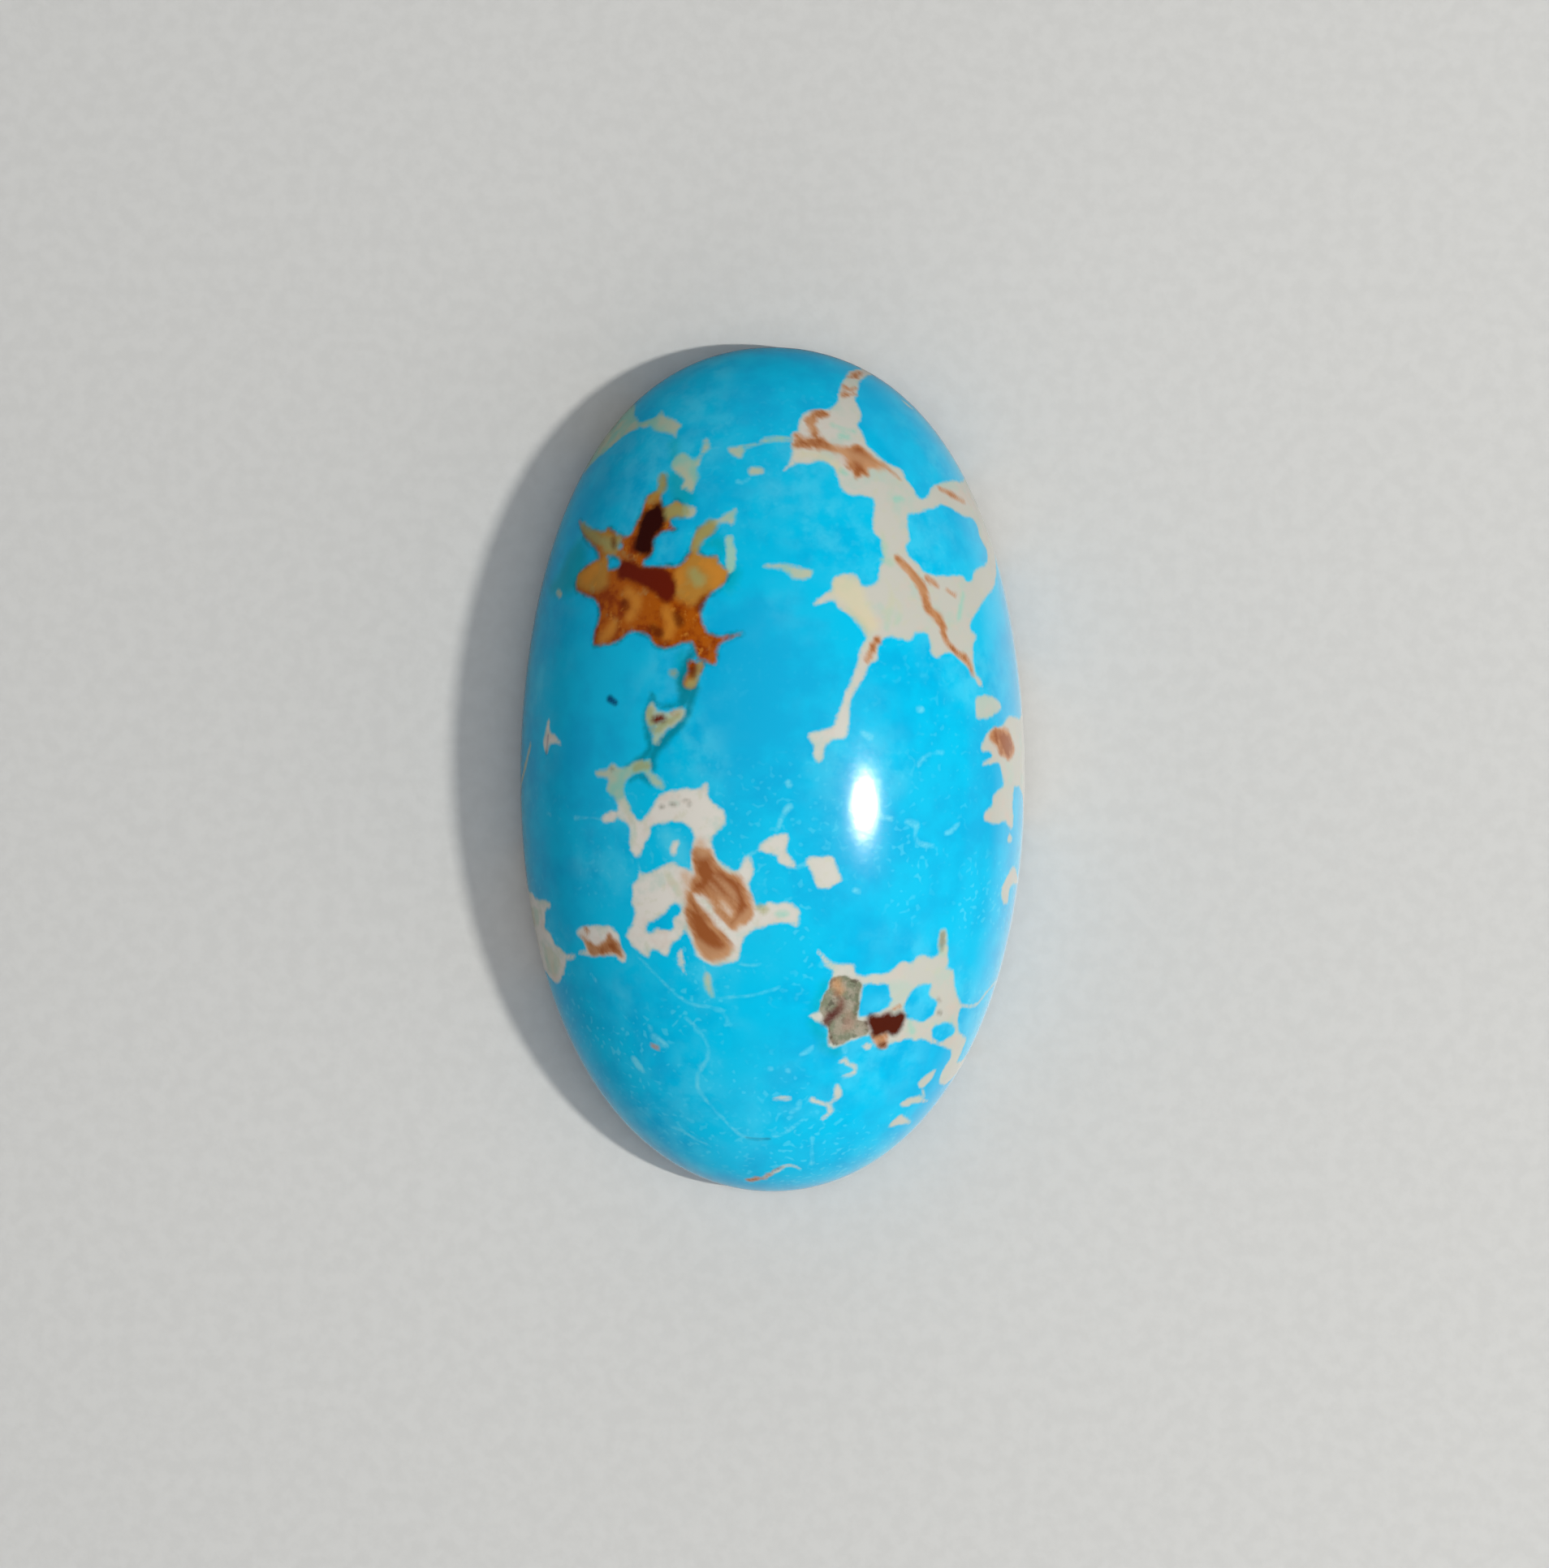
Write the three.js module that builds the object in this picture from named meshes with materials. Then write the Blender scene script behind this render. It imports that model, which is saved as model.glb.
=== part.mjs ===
// A polished turquoise cabochon: one solid oval stone with a high, smooth dome, a narrow upright
// girdle, a small ground bevel under it and a flat back that it rests on.
// Millimetres, +Z up. The stone is long in Y and wide in X, its flat back lies on Z = 0, and the
// origin is under the middle of the oval.
import * as THREE from "three";

// Driving dimensions of the stone
const LENGTH = 25.0;
const WIDTH = 14.92;
const HEIGHT = 7.2;
const BEVEL_HEIGHT = 0.45;
const BEVEL_INSET = 0.5;
const GIRDLE_HEIGHT = 0.5;

// How the hand-cut outline departs from a true ellipse, as shares of the half width and half length
const FULLNESS = 0.028; // the oval is fuller than an ellipse between its axes
const TAPER = 0.015; // the +Y half is a little wider near its end
const EGG = 0.01; // the widest line lies a little towards -Y

// How finely the faces are cut
const STEPS_AROUND = 96;
const DOME_STEPS = 22;
const NORMAL_STEP = 1e-4; // in radians, for the outline's own direction

const STONE_COLOUR = 0x17a8d8;

// A point of the plan: u and v run from -1 to 1 across the oval, and u * u + v * v = 1 is its edge.
function planPoint(u, v) {
  const fuller = 4 * FULLNESS * u * u * v * v;
  const lopsided = v * (TAPER + EGG * (4 * v * v - 3));
  return new THREE.Vector2((WIDTH / 2) * u * (1 + fuller + lopsided), (LENGTH / 2) * v * (1 + fuller));
}

// The outline's outward direction at an angle around the oval.
function outwardAt(angle) {
  const before = planPoint(Math.cos(angle - NORMAL_STEP), Math.sin(angle - NORMAL_STEP));
  const after = planPoint(Math.cos(angle + NORMAL_STEP), Math.sin(angle + NORMAL_STEP));
  const along = after.sub(before).normalize();
  return new THREE.Vector2(along.y, -along.x);
}

// The half section, from the middle of the back out to the girdle and up over the dome. Its x is the
// share of the way out to the edge, and its y is the height.
function halfSection() {
  const girdleTop = BEVEL_HEIGHT + GIRDLE_HEIGHT;
  const section = [new THREE.Vector2(0, 0), new THREE.Vector2(1, 0), new THREE.Vector2(1, BEVEL_HEIGHT)];
  for (let step = 0; step < DOME_STEPS; step++) {
    const rise = (Math.PI / 2) * (step / DOME_STEPS);
    const height = girdleTop + (HEIGHT - girdleTop) * Math.sin(rise);
    section.push(new THREE.Vector2(Math.cos(rise), height));
  }
  section.push(new THREE.Vector2(0, HEIGHT));
  return section;
}

// The section turned round the upright axis, then drawn out to the oval plan, with the edge of the
// back drawn in for the bevel.
function cabochonGeometry() {
  const geometry = new THREE.LatheGeometry(halfSection(), STEPS_AROUND);
  geometry.rotateX(Math.PI / 2);
  const places = geometry.getAttribute("position");
  for (let i = 0; i < places.count; i++) {
    const u = places.getX(i);
    const v = places.getY(i);
    const height = places.getZ(i);
    const place = planPoint(u, v);
    const onEdgeOfBack = height < BEVEL_HEIGHT / 2 && Math.hypot(u, v) > 0.5;
    if (onEdgeOfBack) place.addScaledVector(outwardAt(Math.atan2(v, u)), -BEVEL_INSET);
    places.setXY(i, place.x, place.y);
  }
  geometry.computeVertexNormals();
  return geometry;
}

const polishedStone = new THREE.MeshStandardMaterial({
  color: STONE_COLOUR,
  roughness: 0.2,
  metalness: 0,
});

const stone = new THREE.Mesh(cabochonGeometry(), polishedStone);
stone.name = "turquoise_cabochon";

const cabochon = new THREE.Group();
cabochon.add(stone);

export default cabochon;
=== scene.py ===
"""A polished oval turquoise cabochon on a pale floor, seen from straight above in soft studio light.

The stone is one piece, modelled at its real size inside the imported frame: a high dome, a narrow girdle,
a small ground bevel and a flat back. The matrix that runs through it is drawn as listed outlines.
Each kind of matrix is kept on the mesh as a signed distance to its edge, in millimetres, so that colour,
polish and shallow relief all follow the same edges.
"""
import logging
import math
from collections.abc import Callable, Sequence
from dataclasses import dataclass, field
from enum import Enum

import bmesh
import bpy
import numpy as np
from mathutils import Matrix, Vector, noise


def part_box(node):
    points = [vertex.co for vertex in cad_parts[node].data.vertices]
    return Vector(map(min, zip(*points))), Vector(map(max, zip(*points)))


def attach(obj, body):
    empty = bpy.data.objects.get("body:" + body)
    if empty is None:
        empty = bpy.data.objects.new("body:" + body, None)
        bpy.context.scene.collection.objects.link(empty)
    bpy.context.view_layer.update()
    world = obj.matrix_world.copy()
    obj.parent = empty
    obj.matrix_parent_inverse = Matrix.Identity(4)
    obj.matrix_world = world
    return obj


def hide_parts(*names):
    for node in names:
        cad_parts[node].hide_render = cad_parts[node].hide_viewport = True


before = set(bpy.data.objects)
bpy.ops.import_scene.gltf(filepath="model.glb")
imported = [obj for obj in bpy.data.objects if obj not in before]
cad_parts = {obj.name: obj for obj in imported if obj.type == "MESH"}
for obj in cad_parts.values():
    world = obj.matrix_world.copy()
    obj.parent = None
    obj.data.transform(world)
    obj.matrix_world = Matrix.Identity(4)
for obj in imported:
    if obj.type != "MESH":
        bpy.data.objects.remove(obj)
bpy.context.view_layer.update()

MM = 0.001
CAD_NODE = "turquoise_cabochon"
RIGHTWARD = (1.0, 0.0, 0.0)
TINY = 1e-9  # keeps a division by a length of nothing from failing
SLACK = 0.01  # how far below the dome's foot a point of the block still counts as the dome's
LOOKS_DOWN = -0.5  # a face whose normal's z is below this looks down

Point = tuple[float, ...]
Colour = tuple[int, int, int]

log = logging.getLogger("cabochon")


class Tint(Enum):
    """The kinds of matrix, by the name of the distance that the mesh carries for each. DARK and OLIVE also
    carry the painted shade of the winged pit and of the chipped left edge.
    """

    CREAM = "cream"
    BROWN = "brown"
    TAN = "tan"
    RUST = "rust"
    OCHRE = "ochre"
    EMBER = "ember"
    BLOOD = "blood"
    GOLD = "gold"
    STAIN = "stain"
    TEAL = "teal"
    WASH = "wash"
    MOSS = "moss"
    GLAZE = "glaze"
    GREY = "grey"
    OLIVE = "olive"
    VEIL = "veil"
    HAIR = "hair"
    DARK = "dark"
    POCKET = "pocket"


@dataclass(frozen=True)
class Patch:
    """A marking with an outline, in pixels of the photograph.

    Attributes:
        name: What the marking is, in plain words.
        tint: Its kind of matrix.
        outline: The points of its edge, in order.
        islands: Outlines of bare turquoise inside it.
    """

    name: str
    tint: Tint
    outline: tuple[Point, ...]
    islands: tuple[tuple[Point, ...], ...] = ()


@dataclass(frozen=True)
class Vein:
    """A drawn-out marking, in pixels of the photograph.

    Attributes:
        name: What the marking is, in plain words.
        tint: Its kind of matrix.
        route: Points along its middle, each with the vein's width there.
    """

    name: str
    tint: Tint
    route: tuple[Point, ...]


UPPER_LEFT = (
    Patch("rust lobes", Tint.RUST, (
        (816, 587), (820, 593), (817, 603), (814, 609), (814, 617), (818, 625), (828, 622), (834, 618),
        (841, 624), (841, 635), (834, 634), (825, 639), (827, 647), (831, 652), (822, 653), (814, 657),
        (804, 664), (804, 677), (799, 686), (792, 692), (794, 699), (804, 700), (820, 698), (835, 697),
        (843, 690), (850, 681), (854, 668), (860, 653), (868, 647), (878, 645), (877, 656), (866, 664),
        (860, 673), (861, 683), (872, 687), (882, 686), (885, 695), (897, 703), (895, 713), (887, 723),
        (876, 731), (866, 742), (862, 755), (865, 768), (873, 779), (882, 784), (894, 784), (914, 780),
        (897, 788), (889, 792), (883, 801), (881, 818), (871, 815), (860, 809), (855, 794), (850, 790),
        (839, 792), (823, 798), (807, 794), (799, 783), (787, 778), (774, 779), (761, 790), (741, 794),
        (732, 794), (733, 779), (738, 764), (738, 749), (733, 739), (721, 733), (710, 726), (711, 710),
        (718, 701), (731, 692), (738, 688), (735, 677), (726, 668), (719, 659), (714, 642), (722, 651),
        (733, 655), (745, 655), (750, 650), (761, 659), (774, 661), (783, 647), (789, 636), (793, 623),
        (797, 613), (804, 607), (811, 604),
    ), islands=(
        ((748, 684), (757, 685), (765, 691), (764, 700), (750, 702), (748, 694)),
        ((759, 673), (763, 668), (767, 672), (764, 677)),
    )),
    Patch("dark core of the upper lobe", Tint.EMBER, (
        (811, 620), (817, 627), (819, 640), (815, 652), (806, 662), (804, 675), (800, 686), (791, 684),
        (781, 678), (781, 667), (785, 655), (789, 642), (794, 631), (803, 625))),
    Patch("red band across the lobes", Tint.BLOOD, (
        (761, 702), (768, 690), (779, 693), (794, 700), (811, 700), (822, 703), (831, 716), (832, 733),
        (822, 743), (812, 738), (806, 731), (794, 723), (780, 718), (771, 714), (761, 713))),
    Patch("left ochre lobe", Tint.OCHRE, (
        (709, 706), (741, 688), (743, 664), (714, 640), (760, 657), (762, 681), (750, 699), (748, 720),
        (733, 729), (708, 722))),
    Patch("right ochre lobe", Tint.OCHRE, (
        (837, 699), (850, 683), (856, 662), (874, 640), (906, 624), (906, 650), (886, 652), (866, 672),
        (884, 684), (900, 702), (889, 725), (869, 733), (854, 745), (841, 741), (829, 732), (832, 714))),
    Patch("ochre feeler", Tint.OCHRE, (
        (814, 584), (824, 590), (818, 606), (834, 616), (854, 621), (854, 640), (834, 637), (824, 642),
        (814, 620), (797, 620), (800, 606))),
    Patch("olive end of the right feeler", Tint.OLIVE, (
        (876, 645), (882, 640), (893, 634), (906, 627), (904, 646), (894, 643), (885, 645), (878, 650))),
    Vein("olive end of the upper feeler", Tint.OLIVE, ((840, 629, 11), (850, 631, 13))),
    Patch("chain link", Tint.RUST, (
        (848, 814), (856, 815), (865, 818), (865, 825), (859, 833), (856, 846), (843, 846), (844, 835),
        (848, 827))),
    Patch("ochre end of the link", Tint.OCHRE, ((848, 833), (857, 832), (856, 847), (843, 847))),
    Vein("rust spot by the link", Tint.MOSS, ((828, 829, 9), (830, 829, 9))),
    Vein("right line of the chain", Tint.TEAL, (
        (856, 848, 12), (849, 866, 11), (845, 882, 9), (829, 902, 11), (812, 918, 12), (804, 932, 11),
        (805, 949, 6))),
    Vein("upper line of the chain", Tint.TEAL, (
        (803, 856, 4), (809, 868, 5), (822, 871, 5), (837, 865, 5), (844, 850, 6))),
    Vein("left line of the chain", Tint.TEAL, (
        (802, 862, 6), (795, 883, 7), (799, 905, 8), (801, 922, 9), (791, 934, 8), (780, 941, 7),
        (772, 946, 4))),
    Vein("line inside the ring", Tint.TEAL, ((776, 962, 4), (785, 956, 6), (794, 957, 6), (802, 967, 4))),
    Vein("line down to the link", Tint.TEAL, (
        (852, 804, 7), (846, 818, 9), (840, 834, 12), (841, 848, 12))),
    Vein("teal under the link", Tint.TEAL, ((846, 850, 16), (843, 862, 15), (838, 870, 9))),
    Vein("dark notch beside the right foot", Tint.TEAL, ((853, 794, 5), (862, 806, 6), (866, 816, 5))),
    Patch("chain triangle", Tint.OLIVE, (
        (798, 872), (804, 866), (809, 876), (822, 877), (829, 875), (839, 873), (844, 877), (843, 884),
        (836, 890), (824, 897), (817, 906), (810, 916), (804, 916), (804, 903), (806, 895), (800, 892),
        (796, 884))),
    Vein("red spot in the triangle", Tint.BLOOD, ((808, 887, 9), (816, 885, 8))),
    Vein("green of the triangle", Tint.MOSS, ((800, 876, 8), (806, 900, 10), (818, 892, 8), (836, 882, 6))),
    Vein("brown dot in the triangle", Tint.BROWN, ((829, 878, 4), (834, 879, 4))),
    Patch("olive blob", Tint.OLIVE, (
        (830, 567), (837, 559), (846, 560), (854, 567), (862, 562), (861, 572), (857, 578), (860, 589),
        (856, 598), (853, 607), (846, 602), (839, 600), (843, 591), (837, 584), (830, 580), (828, 573))),
    Patch("small diamond", Tint.OLIVE, ((870, 541), (874, 552), (868, 558), (863, 561), (865, 552))),
    Vein("line of the diamond", Tint.HAIR, ((862, 562, 3), (870, 553, 3), (885, 552, 3))),
    Patch("small triangle", Tint.OLIVE, ((897, 554), (907, 551), (917, 550), (913, 563), (904, 561))),
    Vein("triangle vein", Tint.OLIVE, (
        (916, 551, 3), (934, 547, 3), (945, 542, 6), (960, 541, 7), (975, 541, 5))),
    Vein("dot under the vein", Tint.OLIVE, ((927, 580, 10), (935, 580, 9))),
    Vein("faint dash", Tint.HAIR, ((909, 593, 6), (915, 594, 6), (922, 590, 5))),
    Patch("upper left island", Tint.OLIVE, (
        (784, 523), (800, 518), (809, 513), (814, 506), (818, 513), (826, 515), (839, 525), (835, 530),
        (832, 538), (827, 534), (815, 532), (807, 530), (802, 525), (791, 526))),
    Patch("grey shoulder", Tint.OLIVE, (
        (790, 524), (781, 512), (782, 500), (764, 500), (735, 528), (706, 566), (706, 602), (724, 578),
        (735, 566), (750, 552), (763, 541), (776, 532))),
    Vein("teal under the blob", Tint.WASH, ((834, 590, 26), (838, 602, 30), (842, 614, 24))),
    Vein("teal inside the right feeler", Tint.WASH, ((868, 672, 8), (884, 668, 16), (890, 680, 10))),
    Vein("teal foot of the pale upright", Tint.WASH, ((896, 700, 12), (903, 708, 14), (898, 722, 10))),
    Vein("teal beside the link", Tint.WASH, ((840, 806, 10), (838, 826, 12), (842, 846, 10))),
    Vein("moss of the upper feeler", Tint.MOSS, ((820, 634, 14), (832, 629, 19), (842, 630, 16))),
    Vein("moss of the tip", Tint.MOSS, ((816, 588, 13), (815, 602, 13))),
    Vein("moss of the right feeler", Tint.MOSS, (
        (856, 676, 10), (863, 660, 16), (873, 650, 18), (878, 646, 14))),
    Vein("moss in the right lobe", Tint.MOSS, ((854, 706, 13), (861, 715, 16))),
    Vein("moss of the left wing", Tint.MOSS, (
        (718, 648, 9), (730, 660, 14), (744, 668, 14), (756, 674, 15), (762, 664, 9))),
    Vein("orange of the right lobe", Tint.GOLD, ((836, 704, 10), (836, 718, 13))),
    Vein("orange of the right rim", Tint.GOLD, ((872, 697, 14), (886, 706, 16), (880, 718, 12))),
    Vein("orange in the body", Tint.GOLD, ((820, 752, 12), (826, 768, 16), (822, 782, 12))),
    Vein("orange of the lower foot", Tint.GOLD, ((742, 786, 14), (752, 776, 16), (757, 766, 10))),
    Vein("orange of the left lobe", Tint.GOLD, ((722, 712, 18), (732, 700, 16))),
    Vein("orange under the band", Tint.GOLD, ((772, 730, 12), (784, 742, 16), (776, 760, 12))),
    Vein("first dark spot of the body", Tint.STAIN, ((769, 742, 8), (772, 748, 8))),
    Vein("second dark spot of the body", Tint.STAIN, ((834, 757, 10), (838, 766, 12))),
    Vein("third dark spot of the body", Tint.STAIN, ((804, 774, 10), (812, 780, 12))),
    Vein("dark top of the band", Tint.STAIN, ((790, 704, 10), (812, 704, 12), (816, 712, 10))),
    Vein("dark right side of the body", Tint.STAIN, ((866, 738, 9), (862, 752, 7))),
    Vein("dark spot of the wing", Tint.STAIN, ((755, 664, 7), (757, 674, 6))),
    Vein("core of the link", Tint.STAIN, ((854, 824, 8), (853, 832, 8))),
    Vein("moss of the link", Tint.MOSS, ((862, 819, 8), (858, 836, 7), (850, 844, 10))),
    Vein("teal tick", Tint.WASH, ((830, 546, 8), (831, 562, 8))),
    Patch("teal left of the lobes", Tint.WASH, (
        (676, 730), (690, 706), (700, 682), (716, 665), (722, 690), (712, 720), (700, 732))),
    Vein("tan spot", Tint.OLIVE, ((687, 729, 7), (690, 733, 6))),
    Patch("pale upright", Tint.CREAM, (
        (894, 663), (902, 661), (905, 680), (905, 702), (897, 706), (895, 690))),
    Vein("green of the upright", Tint.GLAZE, ((898, 664, 12), (900, 684, 14), (901, 704, 13))),
    Vein("dark blue dot", Tint.DARK, ((751, 861, 9), (758, 866, 7))),
)

LEFT_SIDE = (
    Patch("ring", Tint.OLIVE, (
        (733, 951), (741, 949), (748, 948), (754, 941), (761, 946), (772, 946), (781, 940), (791, 938),
        (800, 937), (800, 948), (806, 955), (815, 963), (818, 971), (811, 970), (802, 963), (793, 952),
        (783, 952), (774, 958), (769, 970), (770, 983), (777, 997), (771, 1004), (757, 982), (748, 975),
        (750, 964), (748, 959), (737, 957))),
    Patch("white arc", Tint.CREAM, (
        (762, 986), (770, 983), (777, 998), (785, 1010), (793, 1008), (802, 996), (811, 983), (819, 977),
        (832, 974), (845, 971), (857, 972), (863, 970), (870, 965), (873, 971), (872, 981), (880, 990),
        (891, 1000), (894, 1011), (889, 1020), (881, 1027), (877, 1036), (876, 1052), (857, 1052),
        (855, 1036), (854, 1027), (848, 1018), (839, 1013), (828, 1012), (815, 1015), (802, 1018),
        (800, 1027), (793, 1042), (789, 1054), (784, 1057), (777, 1048), (776, 1035), (776, 1021),
        (771, 1013), (761, 1008), (754, 1013), (744, 1013), (741, 1007), (752, 999), (760, 998))),
    Vein("ochre of the ring", Tint.MOSS, ((783, 947, 8), (792, 943, 11), (799, 944, 7))),
    Vein("brown dot of the ring", Tint.GREY, ((753, 946, 5), (755, 948, 5))),
    Vein("first grey tick of the arc", Tint.GREY, ((843, 986, 3), (847, 987, 3), (849, 991, 3))),
    Vein("second grey tick of the arc", Tint.GREY, ((826, 991, 4), (831, 992, 4))),
    Vein("third grey tick of the arc", Tint.GREY, ((814, 994, 3), (817, 994, 3))),
    Vein("green left leg of the arc", Tint.OLIVE, ((776, 1006, 5), (782, 1020, 6), (780, 1040, 4))),
    Vein("glow under the arc", Tint.VEIL, ((820, 1030, 18), (832, 1046, 26), (842, 1062, 14))),
    Vein("green spot right of the brown", Tint.MOSS, ((936, 1118, 10), (941, 1122, 9))),
    Vein("line left of the arc", Tint.HAIR, (
        (741, 1009, 3), (727, 1008, 2), (713, 1008, 4), (709, 1008, 7))),
    Vein("link under the arc", Tint.HAIR, ((785, 1057, 3), (787, 1068, 2), (790, 1076, 3))),
    Vein("pale spot under the arc", Tint.CREAM, ((832, 1040, 9), (829, 1050, 9))),
    Patch("left cream field", Tint.CREAM, (
        (787, 1074), (793, 1076), (804, 1073), (815, 1067), (828, 1064), (839, 1067), (850, 1072),
        (862, 1082), (862, 1110), (852, 1130), (845, 1143), (839, 1152), (829, 1163), (820, 1177),
        (811, 1172), (802, 1170), (798, 1178), (791, 1175), (783, 1169), (776, 1161), (771, 1154),
        (774, 1145), (780, 1136), (782, 1122), (779, 1112), (779, 1090), (785, 1083),
    ), islands=(
        (
            (802, 1150), (796, 1147), (796, 1139), (805, 1134), (818, 1125), (826, 1115), (832, 1113),
            (839, 1117), (839, 1125), (830, 1132), (829, 1143), (822, 1147), (811, 1144),
        ),
    )),
    Patch("cream round the brown", Tint.CREAM, (
        (856, 1036), (874, 1038), (879, 1048), (885, 1060), (898, 1069), (908, 1073), (914, 1064),
        (918, 1056), (924, 1057), (928, 1072), (925, 1082), (922, 1090), (926, 1103), (931, 1115),
        (938, 1117), (946, 1112), (957, 1114), (968, 1112), (981, 1117), (985, 1126), (982, 1141),
        (972, 1137), (958, 1138), (941, 1142), (928, 1146), (921, 1152), (913, 1163), (910, 1182),
        (900, 1185), (885, 1189), (869, 1186), (858, 1176), (855, 1165), (850, 1154), (844, 1143),
        (841, 1122), (841, 1102), (846, 1089), (851, 1078), (852, 1056))),
    Patch("brown lobes", Tint.BROWN, (
        (854, 1046), (873, 1046), (878, 1053), (884, 1064), (897, 1073), (908, 1077), (915, 1083),
        (920, 1096), (926, 1110), (928, 1121), (924, 1133), (919, 1139), (911, 1138), (903, 1147),
        (893, 1138), (882, 1124), (874, 1110), (866, 1103), (856, 1103), (861, 1113), (870, 1125),
        (880, 1137), (891, 1149), (899, 1161), (901, 1170), (896, 1178), (886, 1182), (874, 1182),
        (865, 1176), (859, 1166), (855, 1154), (848, 1142), (844, 1124), (844, 1106), (848, 1093),
        (854, 1080), (854, 1060),
    ), islands=(
        ((888, 1111), (893, 1112), (901, 1123), (900, 1129), (893, 1121)),
    )),
    Vein("tan neck", Tint.TAN, ((862, 1040, 13), (866, 1050, 15))),
    Vein("tan left rim of the brown", Tint.TAN, ((843, 1080, 11), (847, 1092, 10), (843, 1108, 5))),
    Vein("first tan streak", Tint.TAN, ((874, 1090, 4), (884, 1102, 8), (894, 1116, 11), (902, 1130, 6))),
    Vein("second tan streak", Tint.TAN, ((881, 1080, 4), (890, 1089, 5), (901, 1101, 6), (906, 1112, 5))),
    Vein("third tan streak", Tint.TAN, ((876, 1110, 4), (890, 1128, 3), (900, 1142, 4))),
    Vein("tan foot of the right lobe", Tint.TAN, ((905, 1143, 7), (915, 1133, 12), (924, 1122, 7))),
    Vein("tan foot of the left lobe", Tint.TAN, (
        (858, 1162, 8), (872, 1173, 16), (886, 1177, 16), (898, 1170, 8))),
    Vein("tan of the lozenge", Tint.TAN, ((724, 1166, 4), (734, 1172, 5))),
    Patch("sliver under the field", Tint.CREAM, (
        (835, 1176), (839, 1171), (842, 1182), (842, 1193), (845, 1200), (840, 1196), (836, 1187))),
    Patch("grey sliver", Tint.OLIVE, (
        (869, 1199), (875, 1202), (876, 1213), (878, 1228), (871, 1223), (867, 1212))),
    Vein("line right of the brown", Tint.HAIR, ((910, 1187, 2), (923, 1190, 3), (937, 1188, 2))),
    Patch("lozenge", Tint.CREAM, (
        (710, 1150), (715, 1143), (724, 1141), (748, 1141), (757, 1146), (763, 1154), (764, 1165),
        (771, 1178), (769, 1186), (763, 1184), (759, 1178), (739, 1177), (726, 1177), (713, 1176),
        (715, 1171), (722, 1171), (718, 1159))),
    Patch("brown half of the lozenge", Tint.BROWN, (
        (715, 1153), (726, 1159), (735, 1165), (744, 1159), (750, 1151), (754, 1157), (761, 1161),
        (764, 1169), (768, 1180), (763, 1178), (757, 1175), (737, 1176), (727, 1176), (722, 1167))),
    Vein("tick in the lozenge", Tint.BROWN, ((722, 1145, 4), (724, 1149, 4))),
    Patch("left edge field", Tint.CREAM, (
        (652, 1092), (661, 1107), (677, 1111), (678, 1117), (672, 1123), (671, 1143), (678, 1150),
        (683, 1163), (692, 1170), (700, 1176), (709, 1176), (706, 1181), (698, 1184), (696, 1193),
        (692, 1203), (689, 1211), (683, 1218), (662, 1232), (620, 1200), (612, 1092))),
    Patch("upper grey of the edge field", Tint.OLIVE, (
        (655, 1114), (663, 1122), (664, 1140), (659, 1146), (652, 1130))),
    Patch("lower grey of the edge field", Tint.OLIVE, (
        (672, 1168), (683, 1172), (690, 1186), (688, 1198), (680, 1210), (674, 1190))),
    Patch("winged pit", Tint.CREAM, (
        (676, 886), (678, 903), (686, 908), (691, 917), (684, 916), (677, 918), (673, 928), (669, 915),
        (671, 905))),
    # painted shade: a dark line down the winged pit, where its hollow lies in shade
    Vein("shade of the winged pit", Tint.DARK, ((675, 906, 2), (674, 918, 2), (673, 928, 3))),
    # painted shade: a grey streak along the chipped left edge, for the shade of the chip
    Vein("grey streak on the left edge", Tint.OLIVE, (
        (653, 918, 6), (648, 938, 7), (643, 953, 7), (641, 962, 5))),
    Vein("dot on the left edge", Tint.HAIR, ((674, 1002, 4), (678, 1004, 4))),
)

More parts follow.
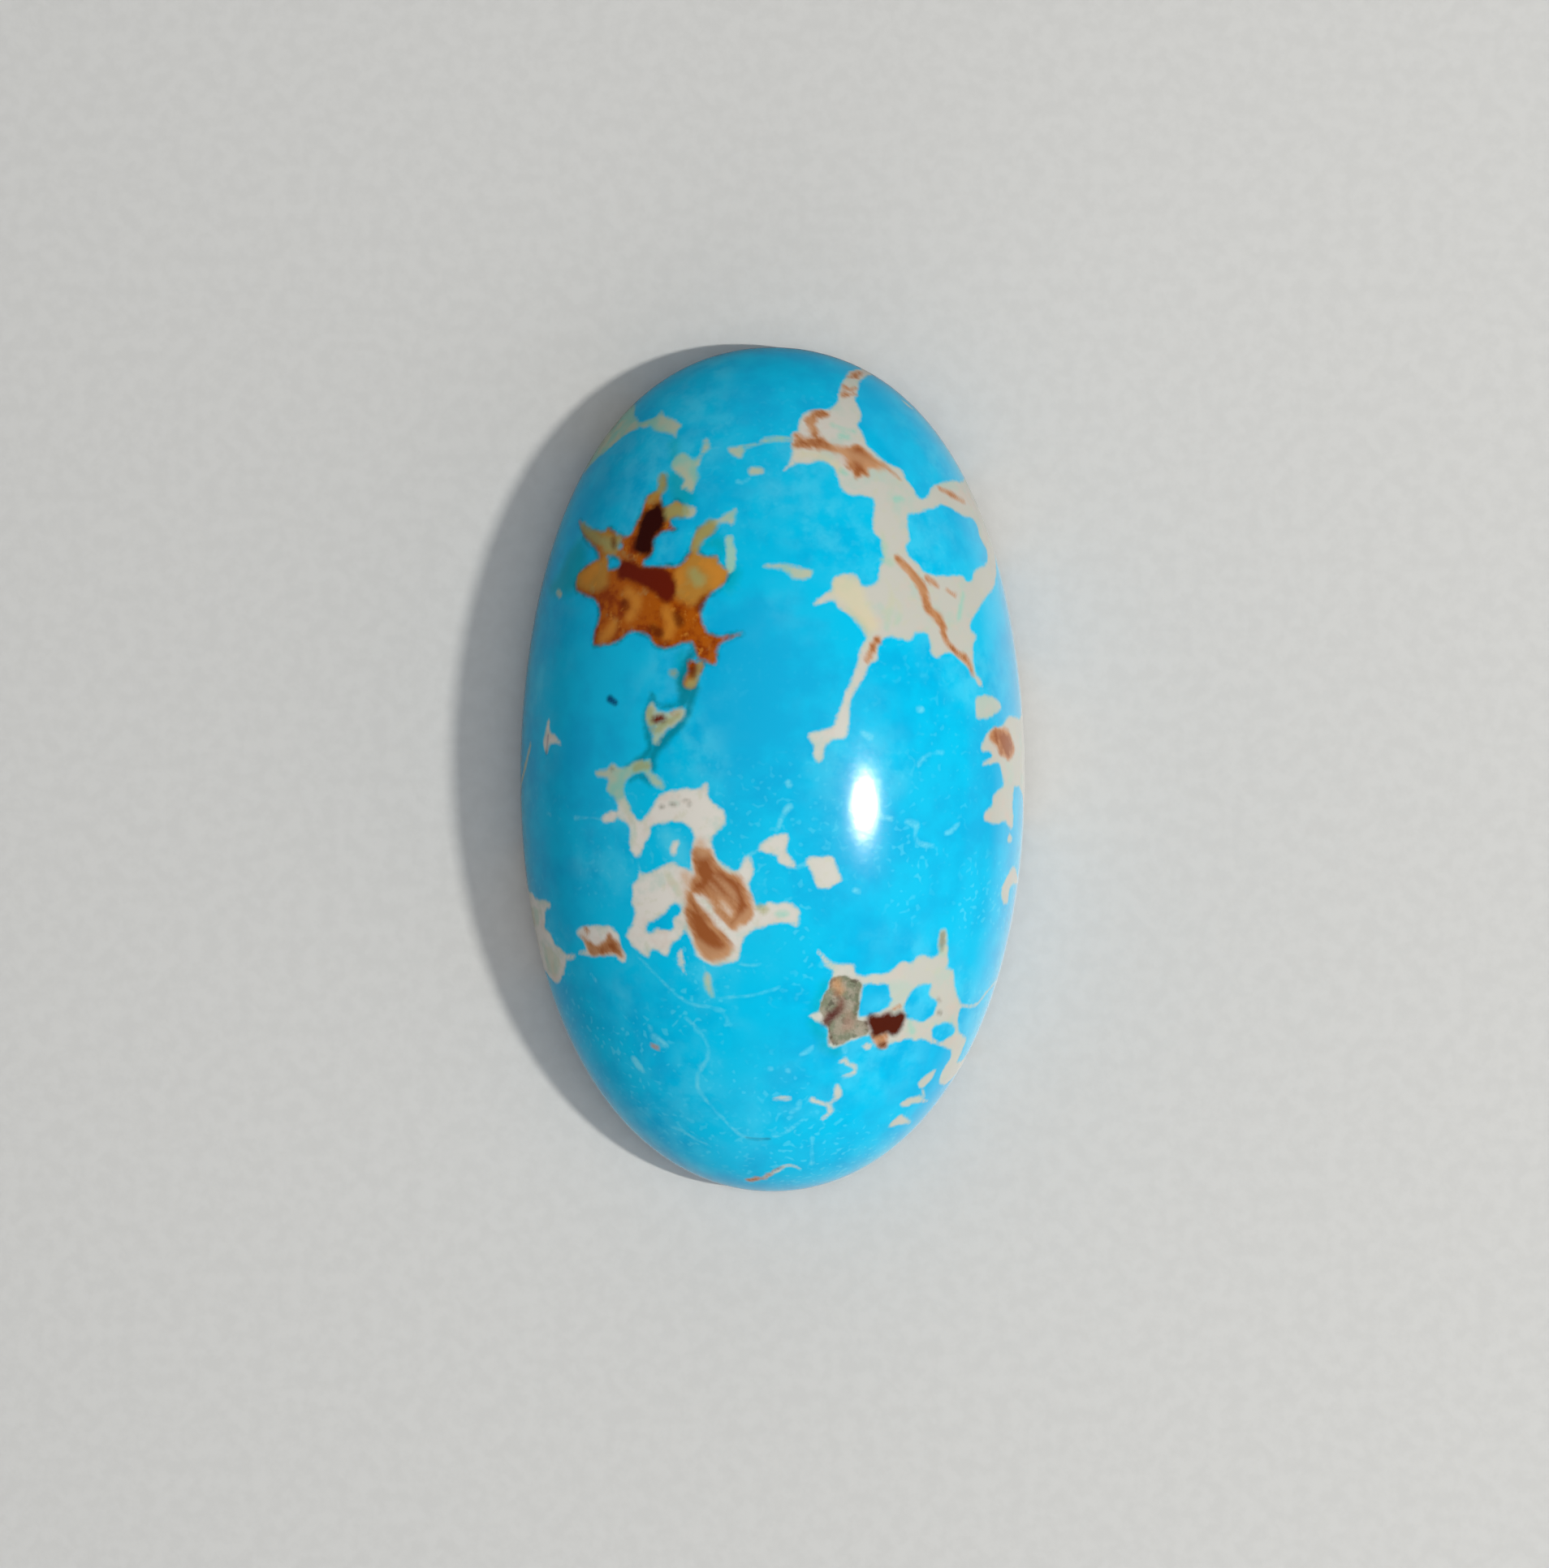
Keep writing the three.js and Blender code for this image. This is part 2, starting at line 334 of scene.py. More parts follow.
UPPER_RIGHT = (
    Patch("great cream field", Tint.CREAM, (
        (1044, 444), (1058, 446), (1057, 469), (1056, 480), (1054, 493), (1059, 504), (1060, 517),
        (1056, 524), (1063, 534), (1067, 547), (1079, 560), (1094, 571), (1109, 578), (1116, 591),
        (1125, 604), (1133, 615), (1141, 614), (1147, 602), (1157, 596), (1172, 594), (1187, 597),
        (1206, 588), (1236, 640), (1256, 716), (1231, 716), (1224, 725), (1218, 731), (1209, 744),
        (1198, 762), (1195, 775), (1203, 783), (1198, 796), (1199, 809), (1200, 827), (1206, 835),
        (1211, 846), (1204, 843), (1196, 827), (1185, 816), (1174, 805), (1163, 804), (1155, 811),
        (1148, 805), (1145, 792), (1142, 780), (1129, 780), (1122, 788), (1111, 788), (1100, 784),
        (1089, 787), (1081, 796), (1081, 811), (1077, 816), (1070, 818), (1064, 835), (1053, 850),
        (1048, 863), (1046, 883), (1043, 903), (1040, 910), (1027, 911), (1018, 918), (1013, 935),
        (1009, 940), (1003, 933), (1002, 920), (996, 905), (1012, 900), (1027, 894), (1035, 872),
        (1044, 848), (1055, 822), (1058, 811), (1060, 799), (1068, 784), (1065, 773), (1055, 764),
        (1042, 755), (1033, 747), (1028, 740), (1018, 741), (1003, 746), (1007, 738), (1020, 730),
        (1026, 727), (1026, 714), (1038, 707), (1051, 707), (1057, 714), (1063, 722), (1072, 722),
        (1081, 716), (1084, 699), (1089, 690), (1087, 677), (1085, 664), (1077, 657), (1075, 640),
        (1078, 623), (1074, 614), (1061, 611), (1046, 610), (1037, 603), (1033, 592), (1029, 580),
        (1023, 573), (1011, 568), (994, 571), (979, 572), (966, 579), (973, 568), (976, 560), (976, 550),
        (976, 535), (983, 531), (984, 521), (990, 510), (1003, 505), (1022, 504), (1031, 495), (1035, 480),
        (1040, 467),
    ), islands=(
        (
            (1118, 634), (1128, 632), (1146, 627), (1157, 622), (1170, 625), (1183, 634), (1198, 640),
            (1205, 651), (1207, 662), (1217, 683), (1215, 696), (1200, 703), (1197, 715), (1191, 716),
            (1185, 710), (1168, 710), (1152, 710), (1137, 703), (1126, 691), (1115, 677), (1120, 664),
            (1118, 651),
        ),
    )),
    Vein("teal spot in the stem", Tint.GLAZE, ((1103, 615, 6), (1110, 614, 6))),
    Vein("green of the upper field", Tint.GLAZE, ((1036, 538, 8), (1043, 538, 7))),
    Vein("green beside the hook", Tint.GLAZE, ((1026, 524, 3), (1052, 532, 4))),
    Vein("green under the saddle", Tint.GLAZE, ((1036, 580, 5), (1042, 584, 6))),
    Vein("grey foot of the stem", Tint.OLIVE, ((1086, 656, 5), (1089, 668, 7), (1091, 684, 6))),
    Vein("green band of the network", Tint.GLAZE, ((1120, 1260, 6), (1124, 1272, 6))),
    Vein("green end of the brown field", Tint.GLAZE, ((960, 1126, 5), (967, 1126, 6))),
    Vein("green left of the brown", Tint.OLIVE, ((822, 1078, 8), (832, 1092, 9), (836, 1102, 6))),
    Patch("brown saddle", Tint.BROWN, (
        (976, 535), (983, 534), (994, 540), (1012, 539), (1020, 545), (1033, 550), (1042, 552), (1057, 547),
        (1068, 556), (1079, 565), (1092, 571), (1103, 584), (1108, 592), (1096, 583), (1083, 576),
        (1070, 578), (1071, 587), (1061, 585), (1054, 589), (1050, 580), (1044, 576), (1042, 567),
        (1035, 559), (1022, 556), (1012, 555), (1003, 552), (983, 553), (976, 550), (979, 543))),
    Patch("brown hook", Tint.BROWN, (
        (992, 519), (996, 511), (1009, 506), (1022, 507), (1021, 513), (1008, 515), (1006, 524),
        (1010, 533), (1002, 539), (998, 528))),
    Vein("tan of the saddle", Tint.TAN, ((1026, 551, 6), (1046, 560, 12), (1064, 568, 15), (1084, 576, 8))),
    Vein("tan of the hook", Tint.TAN, ((998, 518, 6), (1000, 530, 5))),
    Vein("tan of the long streak", Tint.TAN, ((1110, 695, 4), (1126, 712, 5), (1138, 730, 4))),
    Vein("first tick", Tint.BROWN, ((1048, 453, 8), (1049, 462, 9))),
    Vein("second tick", Tint.BROWN, ((1043, 465, 4), (1049, 463, 3))),
    Vein("third tick", Tint.BROWN, ((1041, 477, 9), (1046, 480, 6), (1053, 478, 4))),
    Vein("fourth tick", Tint.BROWN, ((1039, 486, 8), (1045, 486, 6), (1053, 486, 3))),
    Vein("edge streak", Tint.BROWN, ((1158, 602, 4), (1170, 608, 7), (1179, 614, 6), (1188, 620, 6))),
    Vein("long brown streak", Tint.BROWN, (
        (1105, 688, 7), (1119, 700, 9), (1130, 715, 12), (1139, 733, 12), (1144, 750, 12), (1154, 760, 14),
        (1161, 772, 10), (1165, 789, 7), (1176, 801, 5), (1187, 810, 9), (1195, 822, 7), (1198, 832, 3))),
    Vein("upper side tick", Tint.BROWN, ((1141, 712, 4), (1148, 717, 5), (1154, 723, 3))),
    Vein("lower side tick", Tint.BROWN, ((1167, 727, 3), (1176, 733, 4))),
    Vein("stain at the stem", Tint.BROWN, ((1081, 787, 6), (1075, 797, 8), (1070, 812, 8))),
    Vein("grey wisp", Tint.OLIVE, ((1096, 722, 5), (1099, 738, 8), (1095, 755, 9), (1092, 775, 6))),
    Vein("short grey wisp", Tint.OLIVE, ((1107, 744, 6), (1109, 757, 5), (1104, 767, 6))),
    Vein("grey rim of the lobe", Tint.OLIVE, (
        (1044, 751, 6), (1057, 763, 8), (1069, 778, 8), (1071, 786, 5))),
    Vein("grey head of the streak", Tint.OLIVE, ((1088, 690, 6), (1096, 692, 10), (1103, 690, 6))),
    Vein("teal wisp", Tint.GLAZE, ((1187, 732, 5), (1184, 745, 4), (1181, 762, 5))),
    Patch("olive vein", Tint.OLIVE, (
        (941, 698), (957, 695), (973, 697), (990, 701), (1001, 703), (997, 711), (984, 713), (972, 708),
        (961, 701))),
    Vein("mark on the upper edge", Tint.OLIVE, ((1112, 494, 5), (1118, 499, 6), (1123, 503, 4))),
    Vein("yellow of the left lobe", Tint.OCHRE, (
        (1022, 720, 20), (1045, 728, 34), (1058, 748, 24), (1074, 770, 18))),
    Vein("yellow under the saddle", Tint.OCHRE, ((985, 560, 10), (1010, 562, 8), (1030, 575, 10))),
)

RIGHT_SIDE = (
    Patch("right upper blob", Tint.CREAM, (
        (1202, 862), (1213, 857), (1228, 862), (1233, 872), (1224, 881), (1215, 885), (1203, 884))),
    Patch("right edge field", Tint.CREAM, (
        (1272, 868), (1252, 877), (1241, 884), (1234, 894), (1222, 899), (1213, 909), (1209, 923),
        (1220, 927), (1222, 933), (1211, 940), (1212, 944), (1228, 940), (1233, 948), (1236, 968),
        (1224, 979), (1222, 992), (1213, 1000), (1213, 1011), (1228, 1015), (1237, 1012), (1246, 1021),
        (1248, 1009), (1247, 992), (1249, 971), (1255, 968), (1278, 966))),
    Patch("brown of the right edge", Tint.BROWN, (
        (1224, 898), (1239, 897), (1246, 909), (1250, 922), (1248, 931), (1241, 936), (1233, 929),
        (1228, 920), (1219, 911), (1219, 903))),
    Vein("dot on the right edge", Tint.CREAM, ((1243, 1033, 9), (1245, 1035, 8))),
    Patch("strip on the right edge", Tint.CREAM, (
        (1250, 1065), (1256, 1070), (1252, 1081), (1244, 1094), (1241, 1113), (1237, 1115), (1233, 1102),
        (1236, 1089), (1244, 1074))),
    Vein("worm start", Tint.HAIR, ((1083, 1006, 7), (1098, 1009, 7))),
    Vein("worm", Tint.HAIR, (
        (1117, 1013, 6), (1128, 1016, 11), (1128, 1024, 5), (1128, 1034, 5), (1138, 1041, 7),
        (1149, 1042, 6))),
    Vein("worm end", Tint.HAIR, ((1165, 1027, 6), (1173, 1023, 8), (1181, 1015, 4))),
    Vein("pale hook", Tint.HAIR, ((1131, 944, 5), (1137, 934, 5), (1150, 928, 3), (1161, 927, 6))),
    Vein("pale spot above the hook", Tint.HAIR, ((1132, 874, 9), (1135, 874, 9))),
    Vein("pale spot under the stem", Tint.HAIR, ((1063, 903, 7), (1072, 908, 8))),
    Vein("pale centre spot", Tint.HAIR, ((971, 965, 9), (972, 967, 9))),
    Vein("pale centre wisp", Tint.HAIR, ((973, 994, 9), (968, 998, 7), (962, 1010, 6), (958, 1022, 5))),
    Patch("centre triangle", Tint.CREAM, (
        (933, 1048), (941, 1037), (951, 1031), (970, 1027), (969, 1041), (968, 1050), (981, 1063),
        (979, 1070), (960, 1063), (956, 1054), (944, 1051))),
    Patch("centre quad", Tint.CREAM, (
        (992, 1059), (1005, 1056), (1022, 1055), (1027, 1057), (1031, 1070), (1037, 1085), (1027, 1089),
        (1020, 1095), (1007, 1093), (1003, 1085), (998, 1070))),
    Vein("link of the quad", Tint.HAIR, ((981, 1069, 6), (990, 1065, 5), (996, 1062, 6))),
    Vein("link of the triangle", Tint.HAIR, ((934, 1048, 4), (926, 1052, 4), (918, 1057, 5))),
    Vein("spot right of the quad", Tint.HAIR, ((1053, 1097, 7), (1058, 1099, 6))),
)

LOWER_RIGHT = (
    Patch("network", Tint.CREAM, (
        (1007, 1171), (1020, 1182), (1029, 1187), (1053, 1189), (1053, 1198), (1061, 1202), (1079, 1200),
        (1092, 1199), (1101, 1193), (1111, 1185), (1124, 1187), (1129, 1179), (1137, 1177), (1148, 1179),
        (1157, 1175), (1157, 1166), (1166, 1165), (1167, 1174), (1168, 1185), (1165, 1193), (1174, 1196),
        (1176, 1213), (1179, 1228), (1186, 1238), (1183, 1244), (1180, 1257), (1181, 1271), (1189, 1282),
        (1186, 1292), (1179, 1308), (1181, 1313), (1186, 1322), (1176, 1342), (1159, 1335), (1161, 1319),
        (1170, 1306), (1172, 1294), (1161, 1290), (1152, 1286), (1135, 1280), (1126, 1282), (1118, 1279),
        (1107, 1283), (1096, 1285), (1090, 1292), (1081, 1290), (1073, 1276), (1057, 1280), (1040, 1286),
        (1027, 1291), (1020, 1287), (1020, 1269), (1014, 1262), (998, 1252), (1010, 1245), (1012, 1230),
        (1020, 1221), (1023, 1206), (1026, 1197), (1016, 1187),
    ), islands=(
        (
            (1064, 1212), (1078, 1213), (1092, 1213), (1098, 1228), (1098, 1234), (1090, 1243),
            (1079, 1249), (1068, 1252), (1059, 1252), (1058, 1239), (1061, 1226),
        ),
        (
            (1131, 1215), (1146, 1213), (1145, 1225), (1154, 1234), (1151, 1247), (1142, 1256),
            (1133, 1259), (1120, 1255), (1114, 1247), (1114, 1237), (1122, 1222),
        ),
        ((1148, 1267), (1157, 1262), (1166, 1260), (1176, 1265), (1174, 1274), (1159, 1284), (1149, 1280)),
    )),
    Patch("rough pocket", Tint.POCKET, (
        (1025, 1205), (1042, 1203), (1061, 1211), (1059, 1226), (1058, 1241), (1057, 1256), (1069, 1259),
        (1070, 1273), (1053, 1278), (1040, 1284), (1027, 1289), (1022, 1281), (1019, 1263), (1010, 1243),
        (1013, 1230), (1020, 1217))),
    Vein("orange stain in the pocket", Tint.OCHRE, ((1031, 1212, 11), (1035, 1222, 10))),
    Vein("pink floor of the pocket", Tint.TAN, ((1046, 1252, 10), (1047, 1261, 16), (1042, 1268, 9))),
    Vein("dark streak in the pocket", Tint.STAIN, ((1038, 1234, 8), (1036, 1241, 12), (1033, 1247, 10))),
    Vein("red streak in the pocket", Tint.BLOOD, ((1031, 1248, 9), (1025, 1253, 13), (1018, 1259, 11))),
    Vein("rust dot in the pocket", Tint.STAIN, ((1031, 1225, 5), (1032, 1227, 4))),
    Vein("brown dot in the pocket", Tint.STAIN, ((1024, 1282, 4), (1026, 1283, 4))),
    Vein("teal beside the pocket", Tint.WASH, (
        (1017, 1214, 8), (1009, 1234, 10), (1003, 1262, 8), (1014, 1276, 12))),
    Vein("teal under the pocket", Tint.WASH, ((1016, 1288, 9), (1030, 1295, 8))),
    Vein("pale spot under the pocket", Tint.HAIR, ((1040, 1287, 7), (1041, 1295, 7))),
    Patch("dark red blob", Tint.BLOOD, (
        (1070, 1250), (1083, 1250), (1091, 1248), (1096, 1247), (1100, 1250), (1105, 1249), (1111, 1246),
        (1116, 1251), (1114, 1260), (1111, 1268), (1104, 1275), (1096, 1275), (1092, 1272), (1084, 1276),
        (1076, 1278), (1071, 1270), (1068, 1261))),
    Patch("tan under the blob", Tint.BROWN, (
        (1075, 1275), (1091, 1273), (1092, 1284), (1090, 1291), (1081, 1289))),
    Vein("pale piece under the blob", Tint.TAN, ((1079, 1277, 9), (1084, 1283, 8))),
    Vein("red tip", Tint.BLOOD, ((1084, 1288, 8), (1088, 1287, 8))),
    Vein("tick above the blob", Tint.BROWN, ((1101, 1243, 3), (1107, 1241, 4))),
    Vein("spot under the blob", Tint.CREAM, ((1067, 1289, 8), (1069, 1290, 8))),
    Vein("pale body of the horn", Tint.OLIVE, ((1161, 1151, 12), (1161, 1163, 13), (1162, 1174, 12))),
    Vein("grey horn", Tint.GREY, ((1161, 1151, 9), (1160, 1162, 10), (1160, 1170, 6))),
    Vein("upper tick of the network", Tint.GREY, ((1156, 1231, 4), (1158, 1233, 4))),
    Vein("lower tick of the network", Tint.GREY, ((1156, 1248, 5), (1159, 1249, 4))),
    Vein("thread to the right edge", Tint.CREAM, (
        (1184, 1239, 3), (1202, 1240, 3), (1211, 1232, 4), (1222, 1226, 4), (1240, 1216, 5))),
    Patch("first strand", Tint.CREAM, (
        (1153, 1318), (1147, 1330), (1141, 1337), (1136, 1341), (1131, 1336), (1135, 1329), (1143, 1323))),
    Vein("link of the strands", Tint.CREAM, ((1137, 1338, 4), (1138, 1352, 5))),
    Patch("second strand", Tint.CREAM, (
        (1110, 1359), (1120, 1353), (1133, 1351), (1142, 1357), (1124, 1359), (1117, 1364), (1111, 1363))),
    Patch("third strand", Tint.CREAM, (
        (1094, 1388), (1101, 1380), (1111, 1374), (1120, 1379), (1121, 1384), (1109, 1385), (1100, 1388))),
    Vein("curl", Tint.CREAM, (
        (1036, 1308, 4), (1041, 1306, 6), (1044, 1311, 4), (1052, 1314, 5), (1052, 1321, 6),
        (1040, 1327, 5))),
    Patch("drop", Tint.CREAM, ((1027, 1350), (1031, 1336), (1036, 1344), (1036, 1351), (1029, 1355))),
    Vein("branch under the drop", Tint.CREAM, (
        (1029, 1354, 4), (1018, 1361, 4), (1010, 1359, 4), (1000, 1355, 6))),
    Vein("foot of the branch", Tint.CREAM, ((1019, 1361, 6), (1023, 1369, 7), (1014, 1378, 4))),
    Vein("lens", Tint.CREAM, ((955, 1354, 3), (964, 1353, 5), (972, 1353, 3))),
    Vein("curl right of the lens", Tint.HAIR, ((984, 1358, 6), (984, 1365, 6), (974, 1371, 5))),
    Vein("dash under the network", Tint.HAIR, ((987, 1299, 5), (995, 1295, 7), (1001, 1289, 4))),
    Vein("first faint dot", Tint.HAIR, ((947, 1317, 6), (950, 1317, 6))),
    Vein("second faint dot", Tint.HAIR, ((970, 1319, 5), (972, 1320, 5))),
    Vein("upright thread", Tint.HAIR, ((1001, 1401, 5), (1000, 1415, 3), (1000, 1430, 4), (1000, 1434, 8))),
    Vein("brown foot of the bottom thread", Tint.BROWN, (
        (922, 1454, 7), (930, 1452, 7), (938, 1452, 4), (950, 1445, 3))),
    Vein("bottom thread", Tint.CREAM, (
        (940, 1451, 4), (953, 1444, 5), (966, 1437, 5), (975, 1436, 4), (985, 1440, 3))),
    Vein("dark line in the bottom thread", Tint.DARK, ((950, 1444, 1.5), (958, 1440, 3), (964, 1438, 1.5))),
    Vein("dark line under the long thread", Tint.DARK, (
        (919, 1402, 1.2), (934, 1404, 2.2), (948, 1403, 1.2))),
)

HAIRLINES = (
    Vein("upper long thread", Tint.HAIR, (
        (785, 1178, 2), (798, 1191, 3), (811, 1204, 3), (824, 1217, 3), (837, 1229, 4), (854, 1238, 4),
        (876, 1241, 3), (884, 1244, 7), (889, 1246, 6))),
    Vein("tail of the upper thread", Tint.HAIR, ((892, 1251, 3), (896, 1256, 5), (895, 1262, 5))),
    Vein("lower long thread", Tint.HAIR, (
        (845, 1254, 5), (858, 1267, 5), (871, 1286, 4), (871, 1304, 5), (861, 1321, 6), (859, 1338, 5),
        (865, 1350, 7), (872, 1358, 4), (887, 1375, 4), (902, 1390, 4), (915, 1400, 5), (934, 1401, 3),
        (945, 1402, 3), (960, 1399, 4), (975, 1390, 5), (990, 1379, 4))),
    Vein("faint thread", Tint.HAIR, ((884, 1230, 2), (911, 1228, 3), (934, 1225, 3), (960, 1216, 2))),
    Vein("lower left thread", Tint.HAIR, (
        (826, 1388, 5), (835, 1391, 6), (841, 1393, 5), (854, 1402, 4), (874, 1412, 3))),
    Vein("pale blob by the left edge", Tint.HAIR, ((806, 1278, 12), (814, 1285, 13), (820, 1288, 8))),
    Vein("brown dot on the pale blob", Tint.BROWN, ((804, 1289, 5), (809, 1291, 5))),
    Vein("pink spot", Tint.HAIR, ((800, 1265, 6), (801, 1268, 6))),
    Vein("lower pale blob", Tint.HAIR, ((782, 1306, 12), (787, 1314, 11), (792, 1319, 7))),
    Vein("fleck under the lozenge", Tint.HAIR, ((728, 1200, 4), (734, 1209, 4))),
)

MARKINGS = (*UPPER_LEFT, *LEFT_SIDE, *UPPER_RIGHT, *RIGHT_SIDE, *LOWER_RIGHT, *HAIRLINES)


@dataclass(frozen=True)
class Overhead:
    """The camera straight above the stone, and where the photograph's pixels fall.

    Attributes:
        frame_width, frame_height: Size of the photograph, in pixels.
        sensor: Longer side of the sensor, in millimetres.
        lens: Focal length, in millimetres.
        place: Where the camera stands, in metres.
        nearest: How close to the camera things still show, in metres.
    """

    frame_width: int = 1908
    frame_height: int = 1932
    sensor: float = 36.0
    lens: float = 116.2
    place: tuple[float, float, float] = (0.06 * MM, -0.43 * MM, 150.9 * MM)
    nearest: float = 10 * MM

    @property
    def focal_pixels(self) -> float:
        """The focal length in pixels of the photograph."""
        return self.lens / self.sensor * self.frame_height

    def pixels(self, places: np.ndarray) -> np.ndarray:
        """Finds where points of the stone fall in the photograph.

        Args:
            places: One point per row, in metres.

        Returns:
            The pixel of each point, one per row.
        """
        reach = self.focal_pixels / (self.place[2] - places[:, 2])
        across = self.frame_width / 2 + reach * (places[:, 0] - self.place[0])
        down = self.frame_height / 2 - reach * (places[:, 1] - self.place[1])
        return np.column_stack((across, down))

    def spots(self, pixels: np.ndarray, heights: np.ndarray) -> np.ndarray:
        """Follows the sight lines of pixels down to given heights.

        Args:
            pixels: One pixel per row.
            heights: The height to stop at on each sight line, in metres.

        Returns:
            The point reached on each sight line, one per row, in metres.
        """
        reach = (self.place[2] - heights) / self.focal_pixels
        x = self.place[0] + reach * (pixels[:, 0] - self.frame_width / 2)
        y = self.place[1] - reach * (pixels[:, 1] - self.frame_height / 2)
        return np.column_stack((x, y, heights))

    def build(self) -> None:
        """Adds the camera and makes it the scene's own."""
        bpy.ops.object.camera_add(location=self.place, rotation=(0, 0, 0))
        camera = bpy.context.object
        camera.name = "overhead_camera"
        camera.data.lens = self.lens
        camera.data.sensor_width = self.sensor
        camera.data.clip_start = self.nearest
        bpy.context.scene.camera = camera


@dataclass(frozen=True)
class OvalPlan:
    """The stone's outline from above, a little fuller than an ellipse.

    A point inside it is given by its shares u and v of the way out across and along the oval, and
    u * u + v * v = 1 is the edge.

    Attributes:
        half_width, half_length: Half the stone's width and length, in metres.
        fullness: How much fuller than an ellipse it is between its axes.
        taper: How much wider the +Y half is near its end.
        egg: How far the widest line lies towards -Y.
    """

    half_width: float
    half_length: float
    fullness: float = 0.028
    taper: float = 0.015
    egg: float = 0.01

    def swell(self, u: np.ndarray, v: np.ndarray) -> tuple[np.ndarray, np.ndarray]:
        """Gives how far the outline stands out beyond an ellipse.

        Args:
            u, v: Shares across and along the oval.

        Returns:
            The factors across and along the oval.
        """
        fuller = 1 + 4 * self.fullness * u * u * v * v
        return fuller + v * (self.taper + self.egg * (4 * v * v - 3)), fuller

    def places(self, u: np.ndarray, v: np.ndarray) -> np.ndarray:
        """Turns shares into places.

        Args:
            u, v: Shares across and along the oval.

        Returns:
            The x and y of each point, one per row, in metres.
        """
        across, along = self.swell(u, v)
        return np.column_stack((self.half_width * u * across, self.half_length * v * along))

    def shares(self, places: np.ndarray, rounds: int = 12) -> tuple[np.ndarray, np.ndarray]:
        """Turns places back into shares, closer with each round.

        Args:
            places: One point per row, in metres.
            rounds: How often the answer is improved.

        Returns:
            The shares u and v of each point.
        """
        u = places[:, 0] / self.half_width
        v = places[:, 1] / self.half_length
        for _ in range(rounds):
            across, along = self.swell(u, v)
            u = places[:, 0] / (self.half_width * across)
            v = places[:, 1] / (self.half_length * along)
        return u, v

    def outward(self, angle: np.ndarray, step: float = 1e-4) -> np.ndarray:
        """Gives the outline's outward direction at angles around the oval.

        Args:
            angle: Angles around the oval, in radians.
            step: How far before and after each angle the outline is read, in radians.

        Returns:
            The direction at each angle, one per row, of length 1.
        """
        after = self.places(np.cos(angle + step), np.sin(angle + step))
        before = self.places(np.cos(angle - step), np.sin(angle - step))
        along = (after - before) / np.linalg.norm(after - before, axis=1)[:, None]
        return np.column_stack((along[:, 1], -along[:, 0]))


def smoothed(points: Sequence[Point], closed: bool, steps: int = 4) -> np.ndarray:
    """Draws a smooth line through given points, without overshoot at the sharp ones.

    Args:
        points: The points, each with any numbers that go with it, such as a width.
        closed: Whether the line returns to its start.
        steps: How many short pieces each stretch is drawn in.

    Returns:
        The points of the smooth line, one per row.
    """
    knots = np.array(points, float)
    if closed:
        knots = np.vstack((knots, knots[:1]))
    before, after = (knots[-2], knots[1]) if closed else (knots[0], knots[-1])
    around = np.vstack((before, knots, after))
    gaps = np.linalg.norm(np.diff(around[:, :2], axis=0), axis=1)
    easing = np.minimum(gaps[1:], gaps[:-1]) / (gaps[1:] + gaps[:-1])
    pull = (around[2:] - around[:-2]) * easing[:, None]
    start, end, leave, arrive = knots[:-1], knots[1:], pull[:-1], pull[1:]
    rows = []
    for time in np.arange(steps) / steps:
        near = (1 + 2 * time) * (1 - time) ** 2
        bend = time * (1 - time) * ((1 - time) * leave - time * arrive)
        rows.append(near * start + (1 - near) * end + bend)
    line = np.stack(rows, axis=1).reshape(-1, knots.shape[1])
    return np.vstack((line, knots[-1:]))


def eased(value: np.ndarray, start: float, end: float) -> np.ndarray:
    """Rises smoothly from 0 where the value is start to 1 where it is end."""
    share = np.clip((value - start) / (end - start), 0, 1)
    return share * share * (3 - 2 * share)


def rounded_corner(before: Point, corner: Point, after: Point, radius: float, steps: int = 3) -> list[Point]:
    """Rounds one corner of a profile.

    Args:
        before: A point of the profile before the corner.
        corner: The corner itself.
        after: A point of the profile after the corner.
        radius: How far from the corner the rounding starts and ends.
        steps: How many pieces the rounding is drawn in.

    Returns:
        The points of the rounding, in order.
    """
    start = Vector(corner) + radius * (Vector(before) - Vector(corner)).normalized()
    end = Vector(corner) + radius * (Vector(after) - Vector(corner)).normalized()
    shares = [step / steps for step in range(steps + 1)]
    middle = Vector(corner)
    return [tuple((1 - t) ** 2 * start + 2 * t * (1 - t) * middle + t * t * end) for t in shares]


def runs_along(edge: bmesh.types.BMEdge, axis: int, share: float = 0.9) -> bool:
    """Tells whether an edge runs along an axis."""
    run = edge.verts[0].co - edge.verts[1].co
    return abs(run[axis]) > share * run.length


def select_edges(piece: bpy.types.Object, wanted: Callable[[bmesh.types.BMEdge], bool]) -> None:
    """Selects some edges of a piece in edit mode, and nothing else.

    Args:
        piece: The piece, in edit mode.
        wanted: Tells which edges to select.
    """
    bpy.ops.mesh.select_mode(type="EDGE")
    form = bmesh.from_edit_mesh(piece.data)
    for edge in form.edges:
        edge.select_set(False)
    for edge in form.edges:
        if wanted(edge):
            edge.select_set(True)
    bmesh.update_edit_mesh(piece.data)


@dataclass(frozen=True)
class Ripple:
    """A sine wave over two measures of a place, by which the matrix strays on its hidden ways.

    Attributes:
        size: How far it swings.
        first, second: How fast it turns with each of the two measures.
        start: Where it starts, in radians.
    """

    size: float
    first: float
    second: float
    start: float = 0.0

    def at(self, first: np.ndarray, second: np.ndarray) -> np.ndarray:
        """Gives its value at places with the two measures."""
        return self.size * np.sin(self.first * first + self.second * second + self.start)


